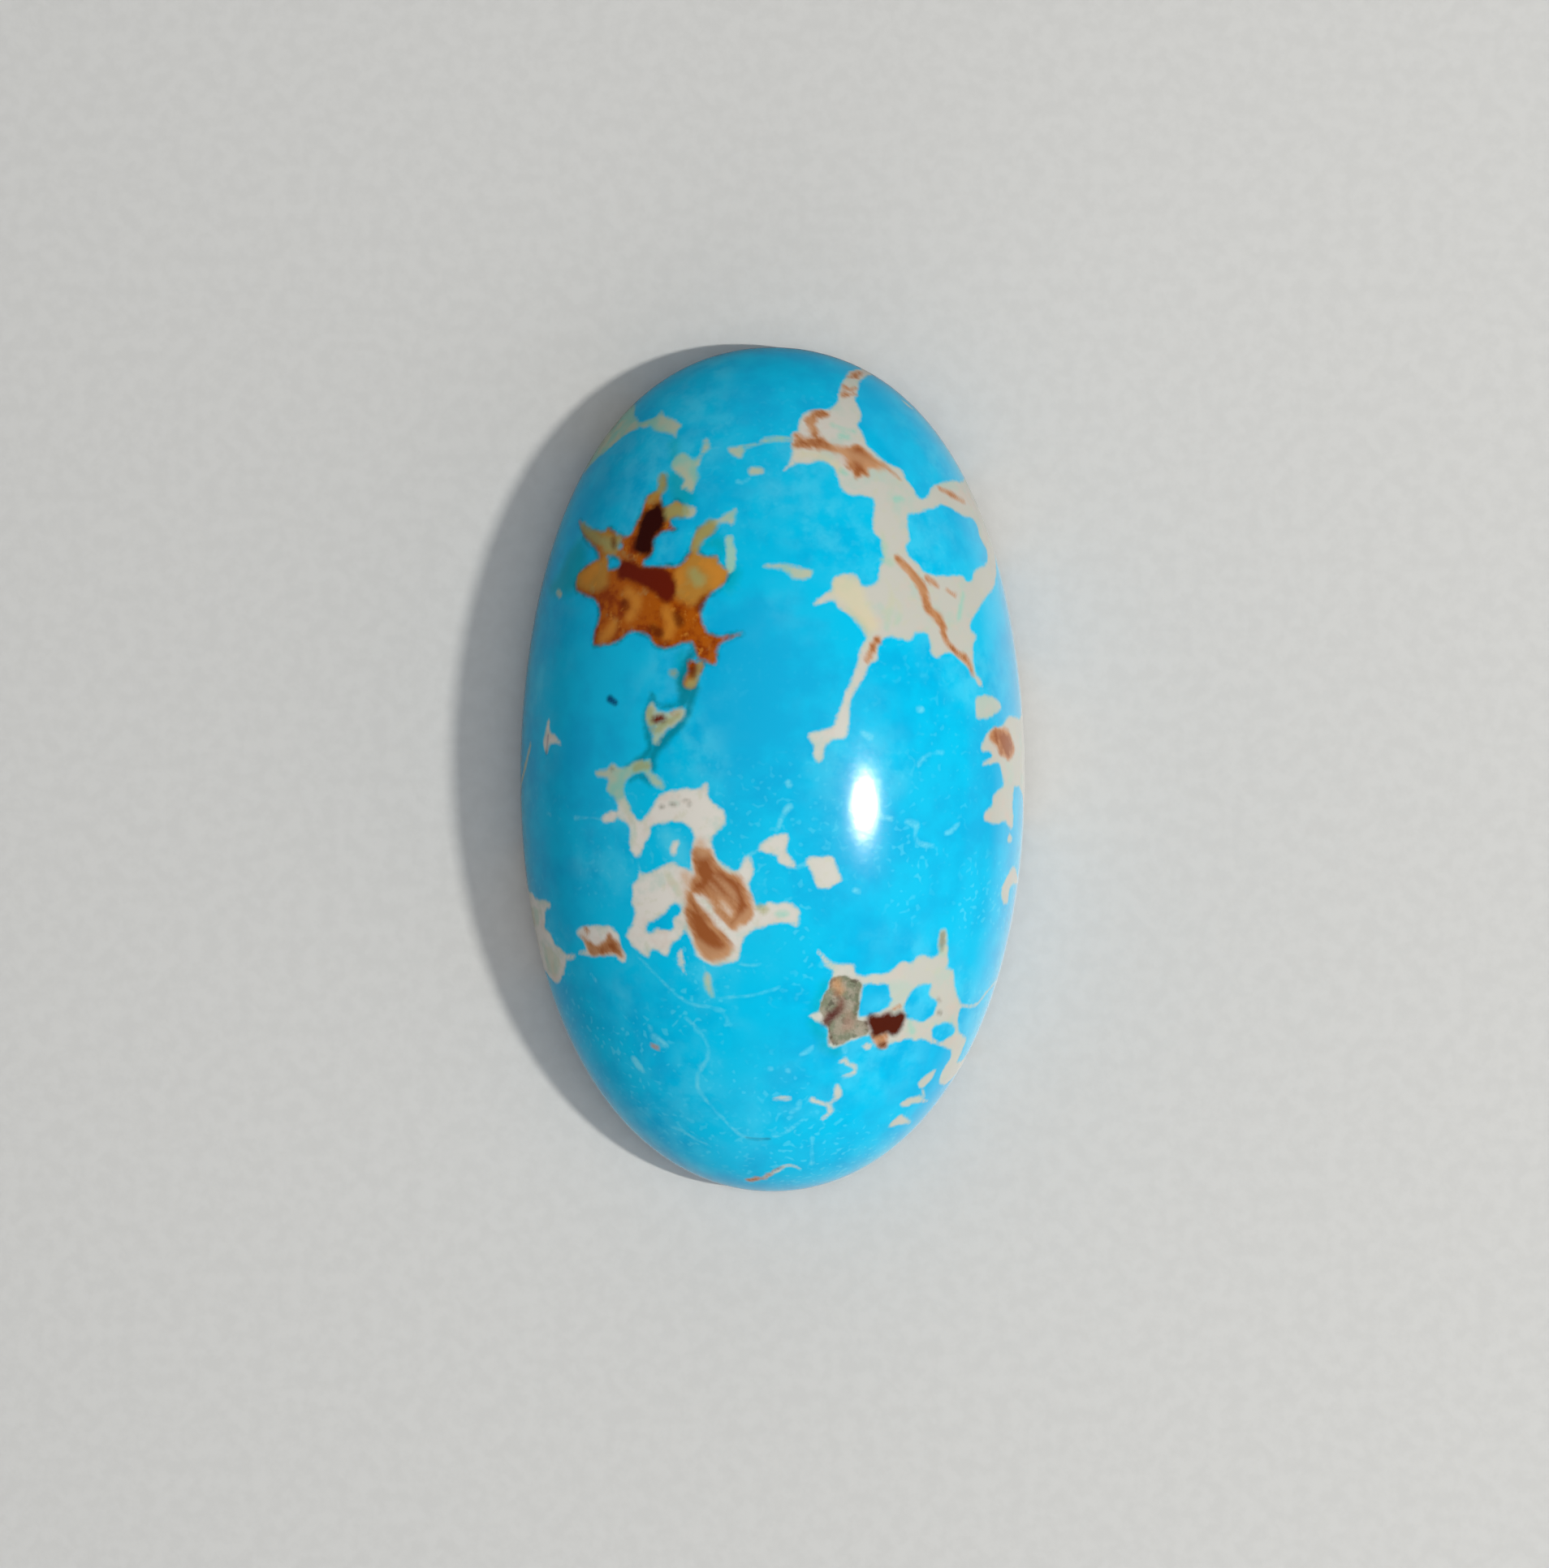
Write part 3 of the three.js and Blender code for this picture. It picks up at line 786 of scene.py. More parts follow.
@dataclass
class Cabochon:
    """The stone itself: its dome, girdle, bevel and back, and the markings that run through it.

    Attributes:
        low, high: Lowest and highest corner of the CAD stone, in metres.
        camera: The camera that the markings were seen by.
        bevel_height, girdle_height: Heights of the ground bevel and of the upright girdle over it.
        bevel_inset: How far the bevel draws the back in.
        edge_softness: Reach of the rounding on the girdle's lower edge and on the edge of the back.
        halves_across, halves_along: Pieces that the dome's grid is first split into across and along it.
        cuts_across, cuts_along: Cuts in each of those pieces.
        cuts_up: Cuts up the lower part of the dome.
        back_rings: Rings of faces across the back.
        pocket_depth: How deep the rough pocket in the matrix is worn.
        pocket_slope: How far its wall runs in from its rim.
        pocket_grain: Size of the lumps on its floor.
        pocket_lumps: Height of those lumps, as a share of its depth.
        spare: How far the outline stays inside the CAD stone's.
        wander_start: Height below which the matrix starts to wander sideways.
        wander_growth: The power by which it wanders more further down.
        wander_ripples: How it wanders, by the angle round the oval and the way down.
        back_across, back_along: How it strays on the back, by the shares across and along it.
        rim_share: How far out towards the dome's rim a sight line can still meet it.
        crease: Angle from which an edge stays crisp, in degrees.
        plan: The outline from above, worked out from the CAD stone's size.
    """

    low: Vector
    high: Vector
    camera: Overhead
    bevel_height: float = 0.45 * MM
    bevel_inset: float = 0.5 * MM
    girdle_height: float = 0.5 * MM
    edge_softness: float = 0.09 * MM
    halves_across: int = 2
    cuts_across: int = 65
    halves_along: int = 4
    cuts_along: int = 52
    cuts_up: int = 63
    back_rings: int = 16
    pocket_depth: float = 0.07 * MM
    pocket_slope: float = 0.14 * MM
    pocket_grain: float = 0.22 * MM
    pocket_lumps: float = 0.5
    spare: float = 0.002 * MM
    wander_start: float = 3.2 * MM
    wander_growth: float = 1.5
    wander_ripples: tuple[Ripple, ...] = (Ripple(0.12, 5.0, 2.6, 0.6), Ripple(0.06, 13.0, -5.0))
    back_across: tuple[Ripple, ...] = (Ripple(0.22, 0.0, 5.1, 0.8), Ripple(0.10, 9.3, 4.2))
    back_along: tuple[Ripple, ...] = (Ripple(0.18, 4.3, 0.0, math.pi / 2 - 1.1), Ripple(0.07, -3.0, 8.1))
    rim_share: float = 0.9985
    crease: float = 35.0
    plan: OvalPlan = field(init=False)

    def __post_init__(self) -> None:
        """Works out the plan from the CAD stone's size."""
        size = self.high - self.low
        self.plan = OvalPlan(size.x / 2 - self.spare, size.y / 2 - self.spare)

    @property
    def girdle_top(self) -> float:
        """Height at which the dome starts."""
        return self.bevel_height + self.girdle_height

    @property
    def dome_height(self) -> float:
        """Height of the dome above the girdle."""
        return self.high.z - self.girdle_top

    def on_dome(self, u: np.ndarray, v: np.ndarray) -> np.ndarray:
        """Gives the places on the dome above given shares of the plan.

        Args:
            u, v: Shares across and along the oval.

        Returns:
            One place per row, in metres.
        """
        rise = np.sqrt(np.clip(1 - u * u - v * v, 0, 1))
        return np.column_stack((self.plan.places(u, v), self.girdle_top + self.dome_height * rise))

    def lift(self, pixels: np.ndarray, rounds: int = 14) -> tuple[np.ndarray, np.ndarray]:
        """Finds the places on the dome that pixels of the photograph show.

        Args:
            pixels: One pixel per row.
            rounds: How often the answer is improved.

        Returns:
            The places, one per row, in metres, and whether each pixel is on the stone at all.
        """
        places = self.camera.spots(pixels, np.full(len(pixels), self.girdle_top))
        seen = np.ones(len(pixels), bool)
        for _ in range(rounds):
            u, v = self.plan.shares(places)
            reach = np.hypot(u, v)
            seen = reach < self.rim_share
            inside = np.minimum(1, self.rim_share / np.maximum(reach, TINY))
            heights = self.on_dome(u * inside, v * inside)[:, 2]
            places = self.camera.spots(pixels, heights)
        return places, seen

    def build(self) -> bpy.types.Object:
        """Models the stone and measures its markings.

        Returns:
            The finished piece.
        """
        stone = self.cut_block()
        self.cut_grid(stone)
        self.draw_skirt(stone)
        marked = self.shape_surface(stone)
        survey = MatrixSurvey(self, marked)
        distances = survey.measure()
        self.wear_pocket(stone, distances[Tint.POCKET])
        for tint, distance in distances.items():
            layer = stone.data.attributes.new(tint.value, "FLOAT", "POINT")
            layer.data.foreach_set("value", distance.astype(np.float32))
        self.smooth_faces(stone)
        return stone

    def cut_block(self) -> bpy.types.Object:
        """Adds the block that the dome is made from, open below.

        Returns:
            The new object, in edit mode.
        """
        bpy.ops.object.select_all(action="DESELECT")
        middle = self.girdle_top + self.dome_height / 2
        bpy.ops.mesh.primitive_cube_add(size=1, location=(0, 0, middle))
        stone = bpy.context.object
        stone.name = "polished_stone"
        stone.data.name = "polished_stone"
        bpy.ops.object.mode_set(mode="EDIT")
        size = (2 * self.plan.half_width, 2 * self.plan.half_length, self.dome_height)
        bpy.ops.transform.resize(value=size)
        bpy.ops.object.mode_set(mode="OBJECT")
        bpy.ops.object.transform_apply(location=True, rotation=True, scale=True)
        bpy.ops.object.mode_set(mode="EDIT")
        bpy.ops.mesh.select_mode(type="FACE")
        form = bmesh.from_edit_mesh(stone.data)
        for face in form.faces:
            face.select_set(face.normal.z < LOOKS_DOWN)
        bmesh.update_edit_mesh(stone.data)
        bpy.ops.mesh.delete(type="ONLY_FACE")
        return stone

    def cut_grid(self, stone: bpy.types.Object) -> None:
        """Cuts the block into a fine grid, one direction after the other.

        Args:
            stone: The block, in edit mode.
        """
        rounds = (
            (0, self.halves_across - 1),
            (0, self.cuts_across),
            (1, self.halves_along - 1),
            (1, self.cuts_along),
            (2, self.cuts_up),
        )
        for axis, cuts in rounds:
            select_edges(stone, lambda edge: runs_along(edge, axis))
            bpy.ops.mesh.subdivide(number_cuts=cuts)

    def draw_skirt(self, stone: bpy.types.Object) -> None:
        """Draws the open rim down as a skirt of one ring for each row of the edge's profile.

        Args:
            stone: The gridded block, in edit mode. It is left in object mode.
        """
        select_edges(stone, lambda edge: edge.is_boundary)
        for _ in range(len(self.edge_profile()) + self.back_rings):
            bpy.ops.mesh.extrude_edges_move(TRANSFORM_OT_translate={"value": (0, 0, -self.girdle_top)})
        bpy.ops.mesh.merge(type="CENTER")
        bpy.ops.object.mode_set(mode="OBJECT")

    def edge_profile(self) -> list[Point]:
        """Gives the rings of the girdle and the bevel, from the dome down to the back.

        Returns:
            For each ring, how far it is drawn in from the outline and its height.
        """
        top = (0.0, self.girdle_top)
        girdle_foot = (0.0, self.bevel_height)
        back_edge = (self.bevel_inset, 0.0)
        inward = (2 * self.bevel_inset, 0.0)
        profile = [(0.0, (self.girdle_top + self.bevel_height) / 2)]
        profile += rounded_corner(top, girdle_foot, back_edge, self.edge_softness)
        profile += rounded_corner(girdle_foot, back_edge, inward, self.edge_softness)
        return profile

    def shape_surface(self, stone: bpy.types.Object) -> np.ndarray:
        """Moves every point of the block and its skirt to its place on the stone.

        Args:
            stone: The block with its skirt.

        Returns:
            For each point, the place on the dome whose marking it carries.
        """
        count = len(stone.data.vertices)
        block = np.empty(count * 3, np.float32)
        stone.data.vertices.foreach_get("co", block)
        block = block.astype(float).reshape(-1, 3)
        size = (self.plan.half_width, self.plan.half_length, self.dome_height)
        cube = (block - (0, 0, self.girdle_top)) / size
        ring = np.rint((self.girdle_top - block[:, 2]) / self.girdle_top).astype(int)
        ring = np.where(cube[:, 2] > -SLACK, 0, ring)
        cube[:, 2] = np.maximum(cube[:, 2], 0)
        rays = np.tan(cube * math.pi / 4)
        rays /= np.maximum(np.linalg.norm(rays, axis=1), TINY)[:, None]
        u, v = rays[:, 0], rays[:, 1]
        places = self.on_dome(u, v)
        angle = np.arctan2(v, u)
        rim, outward = self.plan.places(np.cos(angle), np.sin(angle)), self.plan.outward(angle)
        profile = self.edge_profile()
        for number, (inset, height) in enumerate(profile, start=1):
            rows = ring == number
            places[rows] = np.column_stack((rim - inset * outward, np.full(count, height)))[rows]
        last_inset = profile[-1][0]
        turned = angle + self.wander(angle, places[:, 2])
        reach = np.hypot(u, v)
        marked = self.on_dome(reach * np.cos(turned), reach * np.sin(turned))
        for number in range(1, self.back_rings + 1):
            rows = ring == len(profile) + number
            share = 1 - number / self.back_rings
            places[rows] = np.column_stack((share * (rim - last_inset * outward), np.zeros(count)))[rows]
            turned = angle + self.wander(angle, np.zeros(count))
            marked[rows] = self.through_stone(share * np.cos(turned), share * np.sin(turned))[rows]
        stone.data.vertices.foreach_set("co", places.ravel())
        stone.data.update()
        return marked

    def wander(self, angle: np.ndarray, height: np.ndarray) -> np.ndarray:
        """Gives how far round the oval the matrix wanders on its way down the hidden sides.

        Args:
            angle: Angles around the oval, in radians.
            height: Heights on the stone, in metres.

        Returns:
            How far it has wandered at each place, in radians.
        """
        fallen = np.clip(1 - height / self.wander_start, 0, 1)
        return fallen**self.wander_growth * sum(ripple.at(angle, fallen) for ripple in self.wander_ripples)

    def through_stone(self, u: np.ndarray, v: np.ndarray) -> np.ndarray:
        """Finds which marking of the dome comes out on the back, wandering more towards the middle.

        Args:
            u, v: Shares across and along the back.

        Returns:
            The places on the dome, one per row.
        """
        depth = 1 - np.hypot(u, v)
        across = u + depth * sum(ripple.at(u, v) for ripple in self.back_across)
        along = v + depth * sum(ripple.at(u, v) for ripple in self.back_along)
        inside = np.minimum(1, 1 / np.maximum(np.hypot(across, along), TINY))
        return self.on_dome(across * inside, along * inside)

    def wear_pocket(self, stone: bpy.types.Object, distance: np.ndarray) -> None:
        """Lowers the rough pocket in the matrix below the polish.

        Args:
            stone: The shaped stone.
            distance: Each point's distance from the pocket's edge, in millimetres, negative inside.
        """
        depth = eased(-distance * MM, 0, self.pocket_slope) * self.pocket_depth
        half = Vector((self.plan.half_width, self.plan.half_length, self.dome_height))
        for index in np.flatnonzero(depth > 0):
            vertex = stone.data.vertices[index]
            if vertex.co.z < self.girdle_top:
                continue
            lumps = 1 + self.pocket_lumps * noise.noise(vertex.co / self.pocket_grain)
            x, y, z = vertex.co - Vector((0, 0, self.girdle_top))
            outward = Vector((x / half.x**2, y / half.y**2, z / half.z**2)).normalized()
            vertex.co -= outward * float(depth[index]) * lumps

    def smooth_faces(self, stone: bpy.types.Object) -> None:
        """Turns all faces outward and shades them smooth, with the narrow edges kept crisp.

        Args:
            stone: The shaped stone.
        """
        bpy.ops.object.mode_set(mode="EDIT")
        bpy.ops.mesh.select_all(action="SELECT")
        bpy.ops.mesh.normals_make_consistent(inside=False)
        bpy.ops.object.mode_set(mode="OBJECT")
        bpy.ops.object.shade_smooth_by_angle(angle=math.radians(self.crease))


@dataclass
class MatrixSurvey:
    """Measures how far the points of the surface lie from each kind of matrix.

    Attributes:
        stone: The stone that carries the markings.
        marked: For each point of its mesh, the place on the dome whose marking it carries.
        reach: The largest distance that is measured, in millimetres.
        pixel_reach: The same reach in pixels of the photograph, with some to spare.
        pixel_size: Size on the stone of a pixel of the photograph, in millimetres.
        pixels: The photograph's pixel of each point.
    """

    stone: Cabochon
    marked: np.ndarray
    reach: float = 1.0
    pixel_reach: float = 48.0
    pixel_size: float = 1 / 42.0
    pixels: np.ndarray = field(init=False)

    def __post_init__(self) -> None:
        """Finds the photograph's pixel of each point."""
        self.pixels = self.stone.camera.pixels(self.marked)

    def near(self, line: np.ndarray) -> np.ndarray:
        """Picks the points that a drawn line could reach.

        Args:
            line: Pixels along the line, one per row.

        Returns:
            The indices of those points.
        """
        low = line[:, :2].min(axis=0) - self.pixel_reach
        high = line[:, :2].max(axis=0) + self.pixel_reach
        return np.flatnonzero(np.all((self.pixels > low) & (self.pixels < high), axis=1))

    def gap(self, points: np.ndarray, line: np.ndarray) -> np.ndarray:
        """Measures from points to a drawn line, along the stone's surface.

        Args:
            points: Indices of the points.
            line: Pixels along the line, one per row, each with a width where it has one.

        Returns:
            The distance of each point to the line's edge, in millimetres.
        """
        places, seen = self.stone.lift(line[:, :2])
        widths = line[:, 2] * self.pixel_size / 2 if line.shape[1] > 2 else np.zeros(len(line))
        least = np.full(len(points), self.reach)
        targets = self.marked[points]
        for index in range(len(line) - 1):
            if not (seen[index] or seen[index + 1]):
                continue
            run = places[index + 1] - places[index]
            from_start = targets - places[index]
            share = np.clip(from_start @ run / max(run @ run, TINY**2), 0, 1)
            apart = np.linalg.norm(from_start - share[:, None] * run, axis=1) / MM
            least = np.minimum(least, apart - widths[index] - share * (widths[index + 1] - widths[index]))
        return least

    def inside(self, points: np.ndarray, line: np.ndarray) -> np.ndarray:
        """Tells which points a closed line goes round.

        Args:
            points: Indices of the points.
            line: Pixels along the closed line, one per row.

        Returns:
            Whether each point is inside.
        """
        x, y = self.pixels[points].T
        within = np.zeros(len(points), bool)
        for (x0, y0), (x1, y1) in zip(line, line[1:]):
            if y0 == y1:
                continue
            crosses = ((y0 > y) != (y1 > y)) & (x < x0 + (y - y0) * (x1 - x0) / (y1 - y0))
            within ^= crosses
        return within

    def signed(self, points: np.ndarray, outline: Sequence[Point]) -> np.ndarray:
        """Measures from points to a closed outline.

        Args:
            points: Indices of the points.
            outline: The outline's listed pixels.

        Returns:
            The distances in millimetres, negative inside.
        """
        line = smoothed(outline, closed=True)
        apart = self.gap(points, line)
        return np.where(self.inside(points, line), -apart, apart)

    def measure(self) -> dict[Tint, np.ndarray]:
        """Measures every marking.

        Returns:
            For each kind of matrix, each point's distance to it in millimetres, negative inside.
        """
        distances = {tint: np.full(len(self.marked), self.reach) for tint in Tint}
        for mark in MARKINGS:
            line = np.array(mark.outline if isinstance(mark, Patch) else mark.route, float)
            points = self.near(line)
            if isinstance(mark, Patch):
                found = self.signed(points, mark.outline)
                for island in mark.islands:
                    found = np.maximum(found, -self.signed(points, island))
            else:
                found = self.gap(points, smoothed(mark.route, closed=False))
            kept = distances[mark.tint]
            kept[points] = np.minimum(kept[points], found)
        return distances


def linear(colour: Colour) -> tuple[float, float, float, float]:
    """Turns an ordinary screen colour into the light that the shader works with.

    Args:
        colour: Red, green and blue, from 0 to 255.

    Returns:
        The linear red, green and blue, and an alpha of 1.
    """
    shares = (part / 255 for part in colour)
    return (*(s / 12.92 if s <= 0.04045 else ((s + 0.055) / 1.055) ** 2.4 for s in shares), 1.0)


Socket = bpy.types.NodeSocket
Input = Socket | float | Colour


@dataclass(frozen=True)
class Grain:
    """A cloudy noise. Its lengths are in millimetres.

    Attributes:
        size: Size of its largest features.
        shift: How far it is moved along each axis, so that no two noises are alike.
        detail: How many finer levels it has.
        stretch: How much it is drawn out along each of its axes.
        turn: How far its axes are turned about the upright one, in degrees.
        roughness: How much its finer levels count.
    """

    size: float
    shift: float
    detail: float = 3.0
    stretch: Point = (1.0, 1.0, 1.0)
    turn: float = 0.0
    roughness: float = 0.55


@dataclass(frozen=True)
class Step:
    """A smooth step from one result to another.

    Attributes:
        start, end: Where it starts and ends.
        low, high: The results before and after it.
    """

    start: float
    end: float
    low: float = 0.0
    high: float = 1.0


class Wobble(Enum):
    """The noises that roughen the edges of the matrix, by their place in the list of them."""

    FIRST = 0
    SECOND = 1
    THIRD = 2
    FRAYED = 3
    THREAD = 4
    NONE = 5


@dataclass(frozen=True)
class Layer:
    """How one kind of matrix lies over what is under it.

    Attributes:
        tint: The kind of matrix.
        wobble: Which noise roughens its edge.
        soft: Half the width over which its edge fades, in millimetres.
        cover: How much of what is under it it hides.
    """

    tint: Tint
    wobble: Wobble
    soft: float
    cover: float = 1.0


LAYERS = (
    Layer(Tint.CREAM, Wobble.FIRST, 0.07),
    Layer(Tint.BROWN, Wobble.FRAYED, 0.10),
    Layer(Tint.TAN, Wobble.FRAYED, 0.14, 0.62),
    Layer(Tint.RUST, Wobble.THIRD, 0.09),
    Layer(Tint.OCHRE, Wobble.FIRST, 0.18),
    Layer(Tint.EMBER, Wobble.SECOND, 0.13),
    Layer(Tint.BLOOD, Wobble.THIRD, 0.12),
    Layer(Tint.STAIN, Wobble.SECOND, 0.12, 0.78),
    Layer(Tint.OLIVE, Wobble.SECOND, 0.09),
    Layer(Tint.TEAL, Wobble.THIRD, 0.12, 0.75),
    Layer(Tint.WASH, Wobble.SECOND, 0.26, 0.62),
    Layer(Tint.MOSS, Wobble.SECOND, 0.10, 0.7),
    Layer(Tint.GLAZE, Wobble.THIRD, 0.12, 0.6),
    Layer(Tint.VEIL, Wobble.FIRST, 0.22, 0.45),
    Layer(Tint.GREY, Wobble.FIRST, 0.10, 0.7),
    Layer(Tint.HAIR, Wobble.THREAD, 0.07),
    Layer(Tint.DARK, Wobble.NONE, 0.08, 0.9),
    Layer(Tint.POCKET, Wobble.SECOND, 0.05),
)


class Recipe:
    """Lays out a material's nodes a step at a time. Lengths in it are millimetres on the piece."""

    def __init__(self, name: str) -> None:
        """Starts an empty material.

        Args:
            name: The material's name.
        """
        self.material = bpy.data.materials.new(name)
        self.material.use_nodes = True
        self.tree = self.material.node_tree
        self.tree.nodes.clear()
        self.places = self.add("ShaderNodeTexCoord").outputs["Object"]

    def add(
        self, kind: str, inputs: dict[str | int, Input] | None = None, **settings: str | bool
    ) -> bpy.types.Node:
        """Adds a node.

        Args:
            kind: The node's type.
            inputs: What goes into its sockets: another node's socket, a number or a colour.
            settings: Its other settings.

        Returns:
            The node.
        """
        node = self.tree.nodes.new(kind)
        for name, value in settings.items():
            setattr(node, name, value)
        for name, value in (inputs or {}).items():
            socket = node.inputs[name]
            if isinstance(value, Socket):
                self.tree.links.new(value, socket)
            elif isinstance(value, tuple) and len(value) == 3 and socket.type == "RGBA":
                socket.default_value = linear(value)
            else:
                socket.default_value = value
        return node

    def distance(self, tint: Tint) -> Socket:
        """Reads the distance to one kind of matrix."""
        return self.add("ShaderNodeAttribute", attribute_name=tint.value).outputs["Fac"]

    def noise(self, grain: Grain) -> bpy.types.Node:
        """Adds a cloudy noise.

        Args:
            grain: What the noise is like.

        Returns:
            The noise node, with three noises in its Color and one in its Fac.
        """
        settings = {
            "Vector": self.places,
            "Location": (grain.shift * MM,) * 3,
            "Rotation": (0, 0, math.radians(grain.turn)),
            "Scale": tuple(part * MM for part in grain.stretch),
        }
        mapping = self.add("ShaderNodeMapping", settings, vector_type="TEXTURE")
        looks = {"Scale": 1 / grain.size, "Detail": grain.detail, "Roughness": grain.roughness}
        return self.add("ShaderNodeTexNoise", {"Vector": mapping.outputs["Vector"], **looks})

    def cloud(self, grain: Grain) -> Socket:
        """Adds a cloudy noise and gives its value."""
        return self.noise(grain).outputs["Fac"]

    def clouds(self, grain: Grain) -> list[Socket]:
        """Adds a cloudy noise and gives the three separate noises in its colour."""
        colour = self.noise(grain).outputs["Color"]
        return list(self.add("ShaderNodeSeparateColor", {"Color": colour}).outputs)

    def along(self, direction: Point) -> Socket:
        """Measures how far a place lies in a direction, in millimetres."""
        scaled = tuple(part / MM for part in direction)
        node = self.add("ShaderNodeVectorMath", {0: self.places, 1: scaled}, operation="DOT_PRODUCT")
        return node.outputs["Value"]

    def calc(self, operation: str, first: Input, second: Input = 0.0, third: Input = 0.0) -> Socket:
        """Does a sum.

        Args:
            operation: The name of the sum, such as MULTIPLY_ADD.
            first, second, third: Its numbers.

        Returns:
            The result.
        """
        node = self.add("ShaderNodeMath", {0: first, 1: second, 2: third}, operation=operation)
        return node.outputs["Value"]

    def times(self, first: Input, second: Input) -> Socket:
        """Multiplies two numbers."""
        return self.calc("MULTIPLY", first, second)

    def rise(self, value: Input, step: Step) -> Socket:
        """Turns a number into a smooth step.

        Args:
            value: The number.
            step: The step.

        Returns:
            The result.
        """
        inputs = {"Value": value, "From Min": step.start, "From Max": step.end}
        inputs |= {"To Min": step.low, "To Max": step.high}
        return self.add("ShaderNodeMapRange", inputs, interpolation_type="SMOOTHSTEP").outputs["Result"]

    def shown(self, layer: Layer, wobbles: Sequence[Input]) -> Socket:
        """Turns the distance to a kind of matrix into how much of it shows.

        Args:
            layer: How the matrix lies.
            wobbles: The noises that an edge can be roughened by, in millimetres.

        Returns:
            The layer's cover inside, 0 outside.
        """
        moved = self.calc("ADD", self.distance(layer.tint), wobbles[layer.wobble.value])
        return self.rise(moved, Step(layer.soft, -layer.soft, 0.0, layer.cover))

    def mix(self, share: Input, base: Input, top: Input) -> Socket:
        """Lays one colour over another.

        Args:
            share: How much of the upper colour shows.
            base, top: The lower and the upper colour.

        Returns:
            The result.
        """
        node = self.add("ShaderNodeMix", data_type="RGBA")
        sockets = {"Factor_Float": share, "A_Color": base, "B_Color": top}
        for socket in node.inputs:
            value = sockets.get(socket.identifier)
            if isinstance(value, Socket):
                self.tree.links.new(value, socket)
            elif value is not None:
                socket.default_value = linear(value) if isinstance(value, tuple) else value
        return next(socket for socket in node.outputs if socket.identifier == "Result_Color")

    def finish(self, kind: str, output: str, inputs: dict[str | int, Input]) -> bpy.types.Material:
        """Adds the shader and the output.

        Args:
            kind: The shader's type.
            output: The name of its output.
            inputs: What goes into its sockets.

        Returns:
            The finished material.
        """
        shader = self.add(kind, inputs)
        self.add("ShaderNodeOutputMaterial", {"Surface": shader.outputs[output]})
        return self.material


@dataclass(frozen=True)
class CloudedBlue:
    """The colour of the turquoise itself: clouds of two blues, with a pale bloom and pale flecks on them.

    Attributes:
        deep, clear, bloom: The darker and the lighter blue, and the pale bloom.
        broad, small, small_share: The noises of the clouds, and how much the small one counts.
        blues: Where the clouds turn from the darker to the lighter blue.
        bloom_patches, bloom_mottle, bloom_cover: Where the bloom lies, and how much it hides.
        flecks, fleck_dots, fleck_patches, fleck_cover: The noise of the flecks, their size, where they lie,
            and how much they hide.
        lower, lower_end: The way to the lower end of the stone, and how much more of the flecks shows there.
    """

    deep: Colour = (0, 164, 211)
    clear: Colour = (0, 179, 221)
    bloom: Colour = (86, 200, 226)
    broad: Grain = Grain(3.4, 11.0, 2.0)
    small: Grain = Grain(0.7, 5.0, 4.0)
    small_share: float = 0.4
    blues: Step = Step(0.38, 0.60)
    bloom_patches: Step = Step(0.42, 0.70)
    bloom_mottle: Step = Step(0.35, 0.65)
    bloom_cover: float = 0.34
    flecks: Grain = Grain(0.17, 23.0, 0.0)
    fleck_dots: Step = Step(0.60, 0.78)
    fleck_patches: Step = Step(0.40, 0.58)
    fleck_cover: float = 0.36
    lower: Point = (0.3, -1.0, 0.0)
    lower_end: Step = Step(-3.0, 6.0, 0.25, 1.0)

    def colour(self, recipe: Recipe) -> Socket:
        """Mixes the colour.

        Args:
            recipe: The material.

        Returns:
            The colour.
        """
        broad, patchy, pale = recipe.clouds(self.broad)
        fine, mottle, _ = recipe.clouds(self.small)
        most = recipe.times(broad, 1 - self.small_share)
        clouds = recipe.calc("MULTIPLY_ADD", fine, self.small_share, most)
        blue = recipe.mix(recipe.rise(clouds, self.blues), self.deep, self.clear)
        bloom = recipe.times(recipe.rise(patchy, self.bloom_patches), recipe.rise(mottle, self.bloom_mottle))
        blue = recipe.mix(recipe.times(bloom, self.bloom_cover), blue, self.bloom)
        lower = recipe.rise(recipe.along(self.lower), self.lower_end)
        dots = recipe.rise(recipe.cloud(self.flecks), self.fleck_dots)
        flecks = recipe.times(dots, recipe.rise(pale, self.fleck_patches))
        return recipe.mix(recipe.times(recipe.times(flecks, lower), self.fleck_cover), blue, self.bloom)


